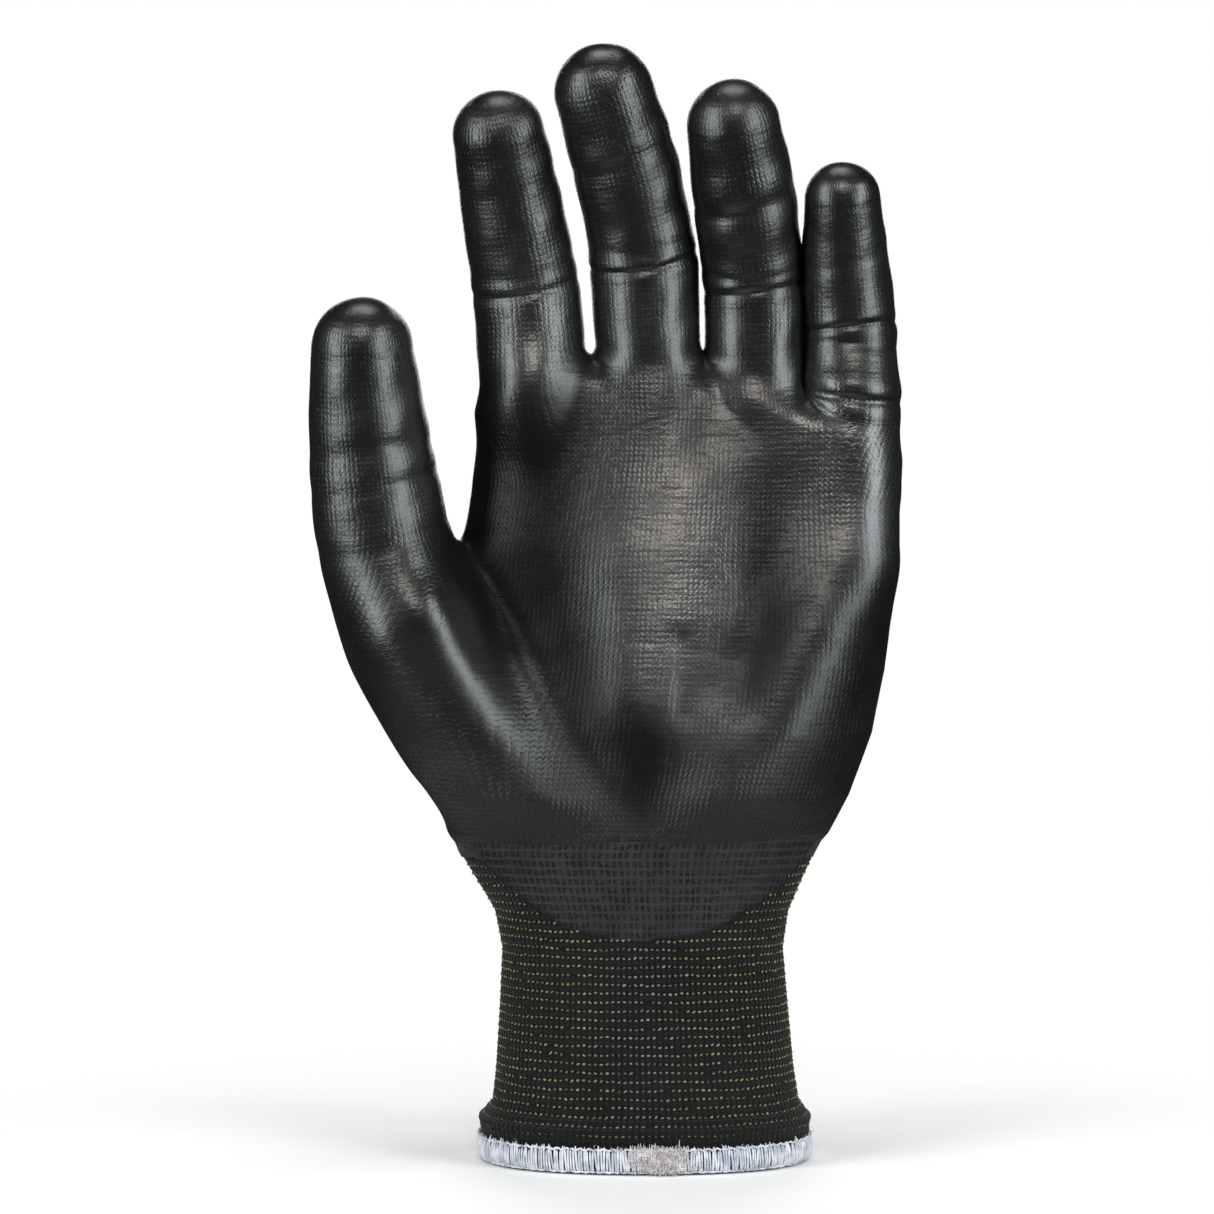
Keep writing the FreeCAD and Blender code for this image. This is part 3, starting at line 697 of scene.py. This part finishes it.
def coat_material():
    """Satin film: low domes over the stitches, pits between them where it is thin, and fine cross creases."""
    n = Nodes("dip_coating")
    _leg, rung, wale, course = stitch_pattern(n)
    thin, even = n.number("thin"), n.number("even")
    open_share = n.math("POWER", thin, 2.0)
    across = n.ripple(wale)
    each = n.ramp(each_stitch(n, wale, course), 0.0, 1.0, 0.5, 1.1)
    domes = n.times(n.math("POWER", across, 0.7), n.math("POWER", rung, 0.7), each)
    corner = n.times(n.ramp(across, 0.0, 0.5, 1.0, 0.0), n.ramp(rung, 0.0, 0.55, 1.0, 0.0))
    patchy = n.noise(70.0, 4.0)
    show = n.ramp(n.noise(42.0, 3.0), 0.35, 0.65, 0.35, 1.0)
    show = n.times(n.plus(show, n.times(open_share, 1.6)), even)
    pits = n.times(corner, show, each)
    creased = n.noise(0.9, 3.0, place=n.place(n.times(wale, 0.3), n.times(course, 0.9), 0.0))
    creased = n.times(creased, n.math("SUBTRACT", 1.0, thin), even, 2.2)
    height = n.math("SUBTRACT", n.times(domes, show), n.times(pits, 0.6))
    height = n.plus(height, n.times(n.noise(1500.0, 3.0), 0.45), n.times(patchy, 1.5), creased)
    n.bump(height, 0.00005, 1.0)
    # Colour: darker and lighter patches at random. Where the coating is thin the tops of the domes are
    # painted lighter, which is painted light on the raised stitches, and the pits are painted near black,
    # which is painted shade in the pinholes.
    body = n.mix(n.ramp(patchy, 0.3, 0.7), (0.0035, 0.004, 0.0042), (0.006, 0.0066, 0.0068))
    body = n.mix(n.times(domes, open_share, 0.9), body, (0.009, 0.0095, 0.0098))
    n.colour(n.mix(n.math("MULTIPLY", pits, 0.9, clamp=True), body, (0.001, 0.001, 0.0012)))
    gloss = n.ramp(n.noise(50.0, 4.0), 0.3, 0.7, 0.29, 0.36)
    n.roughness(n.plus(gloss, n.times(thin, 0.13), n.times(pits, 0.2)))
    # The reflection's strength follows 'shine', which holds painted shade in the palm's hollows and painted
    # highlights on its ridges.
    n.link(n.times(n.number("shine"), 0.55), n.shader.inputs["Specular IOR Level"])
    return n.material


def film_material():
    """The thin soaked edge of the coating: the square mesh of the knit shows through."""
    n = Nodes("thin_coating_edge")
    sway = n.noise(300.0, 2.0)
    wale = n.plus(n.number("wale"), n.times(sway, 0.5))
    course = n.plus(n.number("course"), n.times(sway, -0.4))
    each = n.ramp(each_stitch(n, wale, course), 0.0, 1.0, 0.4, 1.0)
    holes = n.times(n.ramp(n.ripple(wale), 0.2, 0.7), n.ramp(n.ripple(course), 0.25, 0.7), each)
    patchy = n.noise(90.0, 4.0)
    n.bump(n.math("SUBTRACT", n.times(n.noise(1600.0, 3.0), 0.5), holes), 0.0002, 0.9)
    thread = n.mix(n.ramp(patchy, 0.3, 0.7), (0.011, 0.0115, 0.012), (0.02, 0.021, 0.0215))
    # The holes are painted near black: painted shade in the open knit.
    n.colour(n.mix(holes, thread, (0.0015, 0.0015, 0.0017)))
    n.roughness(n.ramp(patchy, 0.3, 0.7, 0.5, 0.66))
    n.fuzz(0.16)
    return n.material


def liner_material():
    n = Nodes("liner_knit")
    leg, rung, wale, course = stitch_pattern(n)
    yarn = n.noise(1.2, 3.0, place=n.place(n.times(wale, 5.0), course, 0.0))
    height = n.plus(n.times(leg, n.ramp(rung, 0.0, 0.5, 0.45, 1.0)), n.times(n.noise(2600.0, 2.0), 0.35))
    n.bump(height, 0.0004, 1.0)
    # The raised loops are painted paler and the low parts darker, following the bump height: painted light
    # and painted shade.
    dark, pale = (0.004, 0.004, 0.0045), (0.017, 0.0175, 0.0185)
    body = n.mix(n.math("MULTIPLY", height, 0.7, clamp=True), dark, pale)
    fleck = n.math("GREATER_THAN", n.times(yarn, leg), 0.6)
    n.colour(n.mix(n.times(fleck, 0.5), body, (0.07, 0.07, 0.03)))
    n.roughness(n.ramp(n.noise(300.0, 3.0), 0.3, 0.7, 0.78, 0.92))
    n.fuzz(0.12, 0.08, 0.4)
    return n.material


def cuff_material():
    """Ribs up the cuff, crossed by its rows."""
    n = Nodes("cuff_rib")
    course = n.number("course")
    ribs = n.ramp(n.ripple(n.number("wale")), 0.0, 0.8, 0.3, 1.0)
    rows = n.ramp(n.ripple(course), 0.0, 0.9, 0.5, 1.0)
    height = n.times(ribs, n.ramp(n.ripple(course, 3), 0.0, 0.8, 0.55, 1.0), rows)
    height = n.plus(height, n.times(n.noise(2400.0, 3.0), 0.4))
    n.bump(height, 0.0004, 1.0)
    # The raised parts of the ribs are painted paler and the hollows between them darker, following the bump
    # height: painted light and painted shade. The paler worn patches added after are random.
    dark, pale = (0.001, 0.001, 0.001), (0.0075, 0.0078, 0.0076)
    body = n.mix(n.math("MULTIPLY", height, 0.75, clamp=True), dark, pale)
    wear = n.ramp(n.noise(45.0, 4.0), 0.4, 0.7)
    n.colour(n.mix(n.times(wear, 0.35), body, (0.0105, 0.0108, 0.0102)))
    n.roughness(n.ramp(n.noise(400.0, 3.0), 0.3, 0.7, 0.8, 0.94))
    n.fuzz(0.12, 0.06, 0.45)
    return n.material


def dash_material():
    n = Nodes("elastic_yarn_dashes")
    pale = n.number("pale")
    olive = n.mix(pale, (0.05, 0.049, 0.016), (0.2, 0.19, 0.06))
    grey = n.mix(pale, (0.045, 0.047, 0.045), (0.17, 0.175, 0.165))
    n.colour(n.mix(n.number("tint"), olive, grey))
    n.bump(n.noise(5200.0, 2.0), 0.0001, 0.6)
    n.roughness(n.ramp(n.noise(900.0, 2.0), 0.3, 0.7, 0.6, 0.8))
    n.fuzz(0.12, 0.06)
    return n.material


def thread_material(name, light, shade):
    n = Nodes(name)
    twist = n.noise(3000.0, 2.0)
    n.colour(n.mix(n.ramp(n.noise(420.0, 3.0), 0.35, 0.65), light, shade))
    n.bump(twist, 0.00012, 0.6)
    n.roughness(n.ramp(twist, 0.3, 0.7, 0.6, 0.78))
    n.fuzz(0.5, 0.15)
    return n.material


# ---------------- hand pieces

MATERIAL = {
    "coat": coat_material(),
    "film": film_material(),
    "liner": liner_material(),
    "cuff": cuff_material(),
    "dash": dash_material(),
    "hem": thread_material("overlock_thread", (0.6, 0.62, 0.66), (0.36, 0.39, 0.45)),
    "tack": thread_material("overlock_join_thread", (0.6, 0.56, 0.56), (0.42, 0.38, 0.39)),
}


def stall_place(name, point):
    """Point on a stall's centre line nearest to a joint, its direction, and its place along the stall."""
    stall = STALLS[name]
    s = stall.local(np.array(point)[None])[0]
    centre, along = stall.at(s)
    return centre[0], along[0], s[0]


# Half the length over which the fabric turns at each joint.
TURN = {"knuckle": 10.5, "index_middle": 8.5, "index_tip": 7.6, "middle_middle": 8.8, "middle_tip": 7.8,
        "ring_middle": 7.4, "ring_tip": 7.0, "little_middle": 6.2, "little_tip": 5.8, "thumb_tip": 8.5}


def hand_regions(verts, faces, labels, local):
    """Which piece each face belongs to, with the two bodies and the end points of the joint that each piece
    spans.
    """
    middle = verts[faces].mean(1)
    label = labels[faces[:, 0]]
    knuckle, half = JOINT["knuckle_flex"], TURN["knuckle"]
    region = np.where(middle[:, 2] > knuckle[2] - half - 0.5, "knuckle", "palm").astype(object)
    region[(label == "thumb") | (middle[:, 0] < -38.5)] = "palm"
    bends = {"palm": None, "knuckle": ("palm", "knuckles", knuckle - [0, 0, half], knuckle + [0, 0, half])}
    for name in ORDER:
        first, second = f"{name}_middle", f"{name}_tip"
        near, near_along, near_s = stall_place(name, JOINT[f"{first}_flex"])
        tip, tip_along, tip_s = stall_place(name, JOINT[f"{second}_flex"])
        reach, far_reach = TURN[first], TURN[second]
        s = local[name][0][faces].mean(1)
        mine = label == name
        region[mine & (s > near_s - reach - 1.4)] = first
        region[mine & (s > (near_s + reach + tip_s - far_reach) / 2)] = second
        bends[first] = ("knuckles", first, near - near_along * reach, near + near_along * reach)
        bends[second] = (first, second, tip - tip_along * far_reach, tip + tip_along * far_reach)
    base, base_along, _base_s = stall_place("thumb", JOINT["thumb_base_flex"])
    tip, tip_along, tip_s = stall_place("thumb", JOINT["thumb_tip_flex"])
    reach = TURN["thumb_tip"]
    s = local["thumb"][0][faces].mean(1)
    above = ((middle - base) @ base_along > -0.6) & (middle[:, 0] < -39.5) & (label == "thumb")
    region[above] = "thumb_base"
    region[(label == "thumb") & (s > tip_s - reach - 1.5)] = "thumb_tip"
    bends["thumb_base"] = ("palm", "thumb_base", base + base_along * 0.4, base + base_along * 13.5)
    bends["thumb_tip"] = ("thumb_base", "thumb_tip", tip - tip_along * reach, tip + tip_along * reach)
    return region, bends


def hand_pieces():
    verts, faces = build_hand()
    normals = normals_of(verts, faces)
    parts = fields(verts)
    names = list(parts)
    labels = np.array(names, object)[np.argmin(np.column_stack([parts[n] for n in names]), axis=1)]
    local = {name: STALLS[name].local(verts) for name in STALLS}
    wale, course = stitch_counts(verts, parts, local)
    margin = coat_margin(verts, parts, local)
    lift = relief(verts, normals, labels, local)
    region, bends = hand_regions(verts, faces, labels, local)
    skin = verts + normals * (lift + LINER_LIFT)[:, None]
    skin_normals = normals_of(skin, faces)
    coat_height = COAT_LIFT * step_up(margin, -1.0, 1.6) - COAT_SINK * (1 - step_up(margin, -2, 0))
    coat = skin + skin_normals * coat_height[:, None]
    even = evenness(verts, faces, wale, course)
    shine = np.ones(len(verts))
    # Painted shade and painted highlights: the coating's reflection is lowered in the palm's hollows and
    # along its edges, and raised on its ridges.
    for points, change, spread in PAINTED_SHINE:
        far, _along = distance_to_line(verts[:, 0], verts[:, 2], points)
        shine += change * np.exp(-0.5 * (far / spread) ** 2) * (verts[:, 1] < 0)
    thin = 1 - step_up(verts[:, 2] + 5 * waves(verts[:, 0], verts[:, 2], 25, 40), 66, 118)
    shine = np.clip(shine, 0.12, 2) * (1 - 0.6 * thin ** 2)
    channels = {"wale": wale, "course": course, "thin": thin, "even": even, "shine": shine}
    dipped = margin[faces].max(1) > -1.6
    bare = margin[faces].min(1) < 4.0
    for name, bend in bends.items():
        mine = region == name
        for kind, points, chosen, slot in (("liner", skin, mine & bare, "liner_knit"),
                                           ("coating", coat, mine & dipped, "coating")):
            some_verts, some_faces, *numbers = trimmed(points, faces[chosen], *channels.values())
            material = MATERIAL["coat" if kind == "coating" else "liner"]
            piece = make_piece(f"{name}_{kind}_skin", some_verts, some_faces, material,
                               **dict(zip(channels, numbers)))
            cad = [node for node in frame["nodes"] if node in cad_names(name, kind)]
            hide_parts(*cad)
            attach(piece, bend, name)


def cad_names(region, kind):
    """CAD nodes that one piece of the hand stands for."""
    tail = "_coating" if kind == "coating" else ""
    last = "_coating" if kind == "coating" else "_liner"
    if region == "palm":
        return {"palm" + last}
    return {f"{region}_band{tail}", f"{region}{last}"}


def attach(piece, bend, body=None):
    """Rides a piece on one body where it has no bend; where it has one, only bakes its transform into the
    mesh.
    """
    if bend is None:
        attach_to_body(piece, body)
        return
    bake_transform(piece)


# ---------------- cuff

WRIST_BEND = ("cuff", "palm", np.array([0, 0, 44.0]), np.array([0, 0, 64.0]))


def ring_points(z, shares):
    """Points evenly spaced round the cuff at one height, from the middle of the back to the thumb side on."""
    x, y, wide, deep, n = (np.interp(z, PALM[:, 0], column) for column in PALM_COLUMNS)
    angle = np.linspace(0, 2 * math.pi, 1441)
    c, s = np.cos(angle), np.sin(angle)
    px = -np.sign(s) * wide * np.abs(s) ** (2 / n)
    py = np.sign(c) * deep * np.abs(c) ** (2 / n)
    run = np.concatenate([[0], np.cumsum(np.hypot(np.diff(px), np.diff(py)))])
    at = shares * run[-1]
    return np.column_stack([x + np.interp(at, run, px), y + np.interp(at, run, py), np.full(len(at), z)])


def on_hand(points):
    """Moves points sideways onto the hand's surface at their own height."""
    moved = project(points.copy(), 2)
    moved[:, 2] = points[:, 2]
    return moved


def sleeve(heights):
    """A tube of quads on the cuff's surface, with its normals and each vertex's rib number."""
    columns = CUFF_COLUMNS * 2
    share = np.arange(columns) / columns
    verts = np.concatenate([ring_points(z, share) for z in heights])
    upper = verts[:, 2] > CUFF_MELT
    verts[upper] = on_hand(verts[upper])
    count = len(heights)
    r, c = np.meshgrid(np.arange(count - 1), np.arange(columns), indexing="ij")
    nxt = (c + 1) % columns
    faces = np.column_stack([(r * columns + c).ravel(), ((r + 1) * columns + c).ravel(),
                             ((r + 1) * columns + nxt).ravel(), (r * columns + nxt).ravel()])[:, ::-1]
    normals = normals_of(verts, faces)
    if (normals * verts).sum(1).mean() < 0:
        faces, normals = faces[:, ::-1], -normals
    return verts, faces, normals, np.tile(share, count) * CUFF_COLUMNS


def build_cuff():
    """Knit tube with a ripple at each row of elastic and a rolled bead above the overlock."""
    heights = np.concatenate([np.arange(1.0, 14.0, 0.4), np.arange(14.0, CUFF_TOP, 0.62), [CUFF_TOP]])
    verts, faces, normals, column = sleeve(heights)
    z = verts[:, 2]
    row = (z - FIRST_ROW) / ROW_PITCH
    ripple = 0.16 * np.cos(2 * math.pi * (row + 0.5)) * step_up(z, 6, 9)
    bead = 0.5 * np.exp(-((z - 9.0) / 1.3) ** 2)
    sway = waves(column * 0.6, z, 30, 14) * 0.2
    verts = verts + normals * (ripple + bead + sway)[:, None]
    cuff = make_piece("cuff_knit", verts, faces, MATERIAL["cuff"], wale=column, course=row)
    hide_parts("ribbed_cuff", "wrist_band")
    attach(cuff, WRIST_BEND)


def film_edge(x):
    """Lower edge of the thin coating over the front of the wrist."""
    return 49.6 + 18.5 * np.minimum(np.abs(x) / 36.0, 1.1) ** 2.4


def build_film():
    """The coating's thin lower edge, which fades into the cuff's knit in a curve."""
    verts, faces, normals, column = sleeve(np.arange(FILM_LOW, COAT_LOW + 1.6, 0.5))
    above = verts[:, 2] - film_edge(verts[:, 0]) + 0.5 * waves(verts[:, 0], verts[:, 2], 9, 31)
    side = COAT_BACK - 1.0 - verts[:, 1]
    margin = np.minimum(above, side)
    lift = -FILM_SINK + (FILM_LIFT + FILM_SINK) * step_up(margin, -0.9, 0.9)
    verts = verts + normals * lift[:, None]
    faces = faces[margin[faces].max(1) > -1.0]
    course = (verts[:, 2] - FIRST_ROW) / ROW_PITCH
    verts, faces, wale, course = trimmed(verts, faces, column * 0.96, course)
    film = make_piece("wrist_coating_film", verts, faces, MATERIAL["film"], wale=wale, course=course)
    attach(film, WRIST_BEND)


# Rings of one dash: place along it, and width.
BEAD_RINGS = ((-1.0, 0.0), (-0.62, 0.78), (0.0, 1.0), (0.62, 0.78), (1.0, 0.0))


def tube_faces(start, rings, sides):
    """Quads between rings of vertices numbered from start."""
    ring = np.arange(sides)
    ahead = (ring + 1) % sides
    base = start + sides * np.arange(rings - 1)[:, None]
    return np.stack([base + ring, base + ahead, base + ahead + sides, base + ring + sides], -1).reshape(-1, 4)


def build_dashes():
    """Short showing lengths of the inlaid elastic yarn, one in every column of every row."""
    rows = int((CUFF_TOP - 1 - FIRST_ROW) / ROW_PITCH)
    share = (np.arange(CUFF_COLUMNS) + 0.5) / CUFF_COLUMNS
    verts, faces, tints, pales = [], [], [], []
    count = 0
    up = np.array([0, 0, 1.0])
    turn = 2 * math.pi * np.arange(DASH_SIDES) / DASH_SIDES
    for row in range(rows):
        z = FIRST_ROW + row * ROW_PITCH
        centre = ring_points(z, share)
        if z > CUFF_MELT:
            centre = on_hand(centre)
        sway = 0.12 * np.sin(centre[:, 0] * 0.3 + row) + rng.normal(0, 0.06, len(centre))
        ahead = np.roll(centre, -1, 0) - np.roll(centre, 1, 0)
        ahead /= np.linalg.norm(ahead, axis=1)[:, None]
        out = np.cross(ahead, [0, 0, 1.0])
        out *= np.sign((out * (centre - [0, 0, z])).sum(1).mean())
        length = rng.uniform(0.26, 0.42, len(centre))
        girth = rng.uniform(0.18, 0.28, len(centre))
        hidden = (z > film_edge(centre[:, 0]) - 0.3) & (centre[:, 1] < COAT_BACK - 1.5)
        hidden |= rng.random(len(centre)) < 0.03
        for k in np.flatnonzero(~hidden):
            tilt = rng.normal(0.1, 0.22)
            base = centre[k] + [0, 0, sway[k]] + out[k] * 0.06
            along = ahead[k] + up * tilt
            section = np.cos(turn)[:, None] * up * 1.1 + np.sin(turn)[:, None] * out[k] * 0.8
            for place, width in BEAD_RINGS:
                verts.append(base + along * length[k] * place + girth[k] * max(width, 0.12) * section)
            faces.append(tube_faces(count, len(BEAD_RINGS), DASH_SIDES))
            number = len(BEAD_RINGS) * DASH_SIDES
            count += number
            middle = math.exp(-(centre[k][0] / 5.5) ** 2) * (centre[k][1] < 0)
            tints.append(np.full(number, min(1.0, 0.75 * middle + rng.uniform(0, 0.65))))
            pales.append(np.full(number, rng.uniform(0, 1)))
    verts, faces, tints, pales = (np.concatenate(values) for values in (verts, faces, tints, pales))
    dashes = make_piece("elastic_yarn_dashes", verts, faces, MATERIAL["dash"], tint=tints, pale=pales)
    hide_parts("elastic_inlay_yarns")
    attach(dashes, WRIST_BEND)


# ---------------- overlock


def tubes(paths, radii, sides):
    """Quads round a list of point paths, all with the same number of points."""
    verts, faces, count = [], [], 0
    turn = 2 * math.pi * np.arange(sides) / sides
    for path, radius in zip(paths, radii):
        path = np.asarray(path, float)
        ahead = np.gradient(path, axis=0)
        ahead /= np.linalg.norm(ahead, axis=1)[:, None] + 1e-9
        guide = np.array([0.31, 0.17, 0.93]) if abs(ahead[0][2]) < 0.9 else np.array([0.9, 0.35, 0.1])
        first = np.cross(ahead, guide)
        first /= np.linalg.norm(first, axis=1)[:, None] + 1e-9
        second = np.cross(ahead, first)
        taper = np.ones(len(path))
        taper[[0, -1]] = 0.35
        for p, u, v, t in zip(path, first, second, taper):
            verts.append(p + radius * t * (np.cos(turn)[:, None] * u + np.sin(turn)[:, None] * v))
        faces.append(tube_faces(count, len(path), sides))
        count += len(path) * sides
    return np.concatenate(verts), np.concatenate(faces)


def hem_frame(share):
    """Point on the cuff's lower edge, and the directions along the edge and outward."""
    here, ahead = ring_points(3.0, np.array([share, (share + 0.001) % 1.0]))
    along = (ahead - here) / np.linalg.norm(ahead - here)
    out = np.cross([0, 0, 1.0], along)
    if out @ (here - [0.4, 0, 3.0]) < 0:
        out = -out
    return here, along, out


def sew(name, cad_node, material, paths, radii, sides):
    """Makes one piece of many threads that stay above the floor."""
    verts, faces = tubes(paths, radii, sides)
    verts[:, 2] = np.maximum(verts[:, 2], 0.02)
    piece = make_piece(name, verts, faces, MATERIAL[material])
    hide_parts(cad_node)
    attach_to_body(piece, "cuff")


def build_hem():
    """Loops of thread round the cuff's edge, and three threads that run along it."""
    paths, radii = [], []
    for k in range(HEM_LOOPS):
        share = (k + rng.uniform(-0.12, 0.12)) / HEM_LOOPS % 1.0
        here, along, out = hem_frame(share)
        top = HEM_TOP + rng.normal(0, 0.34)
        low = 0.42 + 0.28 * (1 + math.sin(share * 60)) * 0.5
        lean = rng.normal(0.35, 0.32)
        swell = 0.55 + rng.uniform(-0.08, 0.1)
        shape = [(0.35, top), (swell, top - 0.8), (swell + 0.18, 3.6), (swell + 0.16, 2.0),
                 (swell - 0.1, low + 0.5), (-0.2, low), (-1.0, low + 0.5), (-1.45, 2.2), (-1.5, 3.9),
                 (-1.2, top - 0.6)]
        path = []
        for o, z in shape:
            point = here + out * o + along * (lean * (3.0 - z) * 0.14)
            path.append([*point[:2], z])
        paths.append(path)
        radii.append(rng.uniform(0.22, 0.29))
    for offset, z, wave, radius in ((0.72, 5.35, 0.22, 0.24), (-0.1, 0.5, 0.1, 0.3), (-1.35, 5.0, 0.2, 0.24)):
        for part in range(EDGE_PARTS):
            path = []
            for j in range(10):
                share = (part * 9 + j) / (9 * EDGE_PARTS) % 1.0
                here, along, out = hem_frame(share)
                point = here + out * (offset + 0.08 * math.sin(j * 2.1 + part))
                path.append([*point[:2], z + wave * math.sin(j * 1.9 + part * 1.3)])
            paths.append(path)
            radii.append(radius)
    sew("overlock_threads", "overlock_hem", "hem", paths, radii, 6)


def build_tack():
    """The fuzzy join in the middle of the front, and a few stray fibres round the edge."""
    paths, radii = [], []
    for k in range(420):
        share = TACK_SHARE + rng.normal(0, 0.016)
        here, along, out = hem_frame(share)
        z = rng.uniform(0.7, 5.6)
        start = here + out * rng.uniform(0.55, 1.05)
        drift = along * rng.normal(0, 1.1) + out * rng.uniform(-0.1, 0.45)
        path = []
        for t in np.linspace(0, 1, 6):
            point = start + drift * t + along * 0.3 * math.sin(5 * t + k)
            path.append([*point[:2], z + (t - 0.5) * rng.normal(0, 1.6)])
        paths.append(path)
        radii.append(rng.uniform(0.07, 0.16))
    for k in range(46):
        share = rng.random()
        here, along, out = hem_frame(share)
        length = rng.uniform(0.8, 2.4)
        up = rng.uniform(-0.3, 1.0)
        start = here + out * 0.7
        path = []
        for t in np.linspace(0, 1, 6):
            point = start + out * length * t * 0.5 + along * length * 0.5 * math.sin(2 * t + k) * t
            path.append([*point[:2], 5.2 + up * length * t])
        paths.append(path)
        radii.append(0.045)
    sew("overlock_join_tack", "overlock_end_tack", "tack", paths, radii, 4)


# ---------------- stage


def area_light(name, place, target, width, height, power, colour=(1, 1, 1)):
    """A softbox that faces a target; places and sizes are in metres."""
    light = bpy.data.lights.new(name, "AREA")
    light.shape = "RECTANGLE"
    light.size, light.size_y = width, height
    light.energy, light.color = power, colour
    lamp = bpy.data.objects.new(name, light)
    lamp.location = place
    direction = np.array(target) - np.array(place)
    lamp.rotation_euler = Vector(direction).to_track_quat("-Z", "Y").to_euler()
    bpy.context.collection.objects.link(lamp)


def floor_material():
    """Pale floor that fades out towards its rim."""
    n = Nodes("pale_floor")
    n.colour((0.93, 0.93, 0.93))
    n.roughness(0.9)
    place = n.new("ShaderNodeTexCoord").outputs["Object"]
    length = n.new("ShaderNodeVectorMath", operation="LENGTH")
    n.link(place, length.inputs[0])
    fade = n.ramp(length.outputs["Value"], 0.35 * FLOOR_RADIUS, 0.95 * FLOOR_RADIUS, 1.0, 0.0)
    n.link(fade, n.shader.inputs["Alpha"])
    return n.material


def build_stage():
    """White surroundings that light the glove only a little, a floor, five softboxes and the camera."""
    world = bpy.data.worlds.new("studio")
    bpy.context.scene.world = world
    world.use_nodes = True
    tree = world.node_tree
    background = tree.nodes["Background"].inputs
    background["Color"].default_value = (1, 1, 1, 1)
    path = tree.nodes.new("ShaderNodeLightPath")
    seen = tree.nodes.new("ShaderNodeMapRange")
    seen.inputs["To Min"].default_value = 0.035
    tree.links.new(path.outputs["Is Camera Ray"], seen.inputs["Value"])
    tree.links.new(seen.outputs["Result"], background["Strength"])

    mesh = bpy.data.meshes.new("floor")
    turns = np.linspace(0, 2 * math.pi, 96, endpoint=False)
    corners = [(FLOOR_RADIUS * math.cos(a), FLOOR_RADIUS * math.sin(a), -0.0002) for a in turns]
    mesh.from_pydata(corners, [], [list(range(96))])
    floor = bpy.data.objects.new("floor", mesh)
    mesh.materials.append(floor_material())
    bpy.context.collection.objects.link(floor)

    cool, warm = (0.93, 0.98, 1.0), (1.0, 0.94, 0.88)
    centre = (0, 0, 0.125)
    area_light("left_box", (-0.8, -0.6, 0.26), centre, 0.44, 0.95, 11.5, cool)
    area_light("right_box", (0.8, -0.6, 0.26), centre, 0.44, 0.95, 11.5, cool)
    area_light("front_box", (0.05, -1.15, 0.76), centre, 0.56, 0.26, 6.5, warm)
    area_light("top_box", (0, -0.1, 1.2), centre, 0.6, 0.4, 4)
    area_light("back_box", (0, 1.2, 0.6), centre, 1.0, 0.7, 9)

    camera = bpy.data.objects.new("camera", bpy.data.cameras.new("camera"))
    camera.data.lens = 94.4
    camera.data.sensor_width = 36
    camera.location = [value * MM for value in EYE]
    camera.rotation_euler = (math.radians(90), 0, 0)
    camera.data.clip_start, camera.data.clip_end = 0.01, 30
    bpy.context.collection.objects.link(camera)
    bpy.context.scene.camera = camera
    bpy.context.scene.view_settings.view_transform = "Standard"


hand_pieces()
build_cuff()
build_film()
build_dashes()
build_hem()
build_tack()
build_stage()
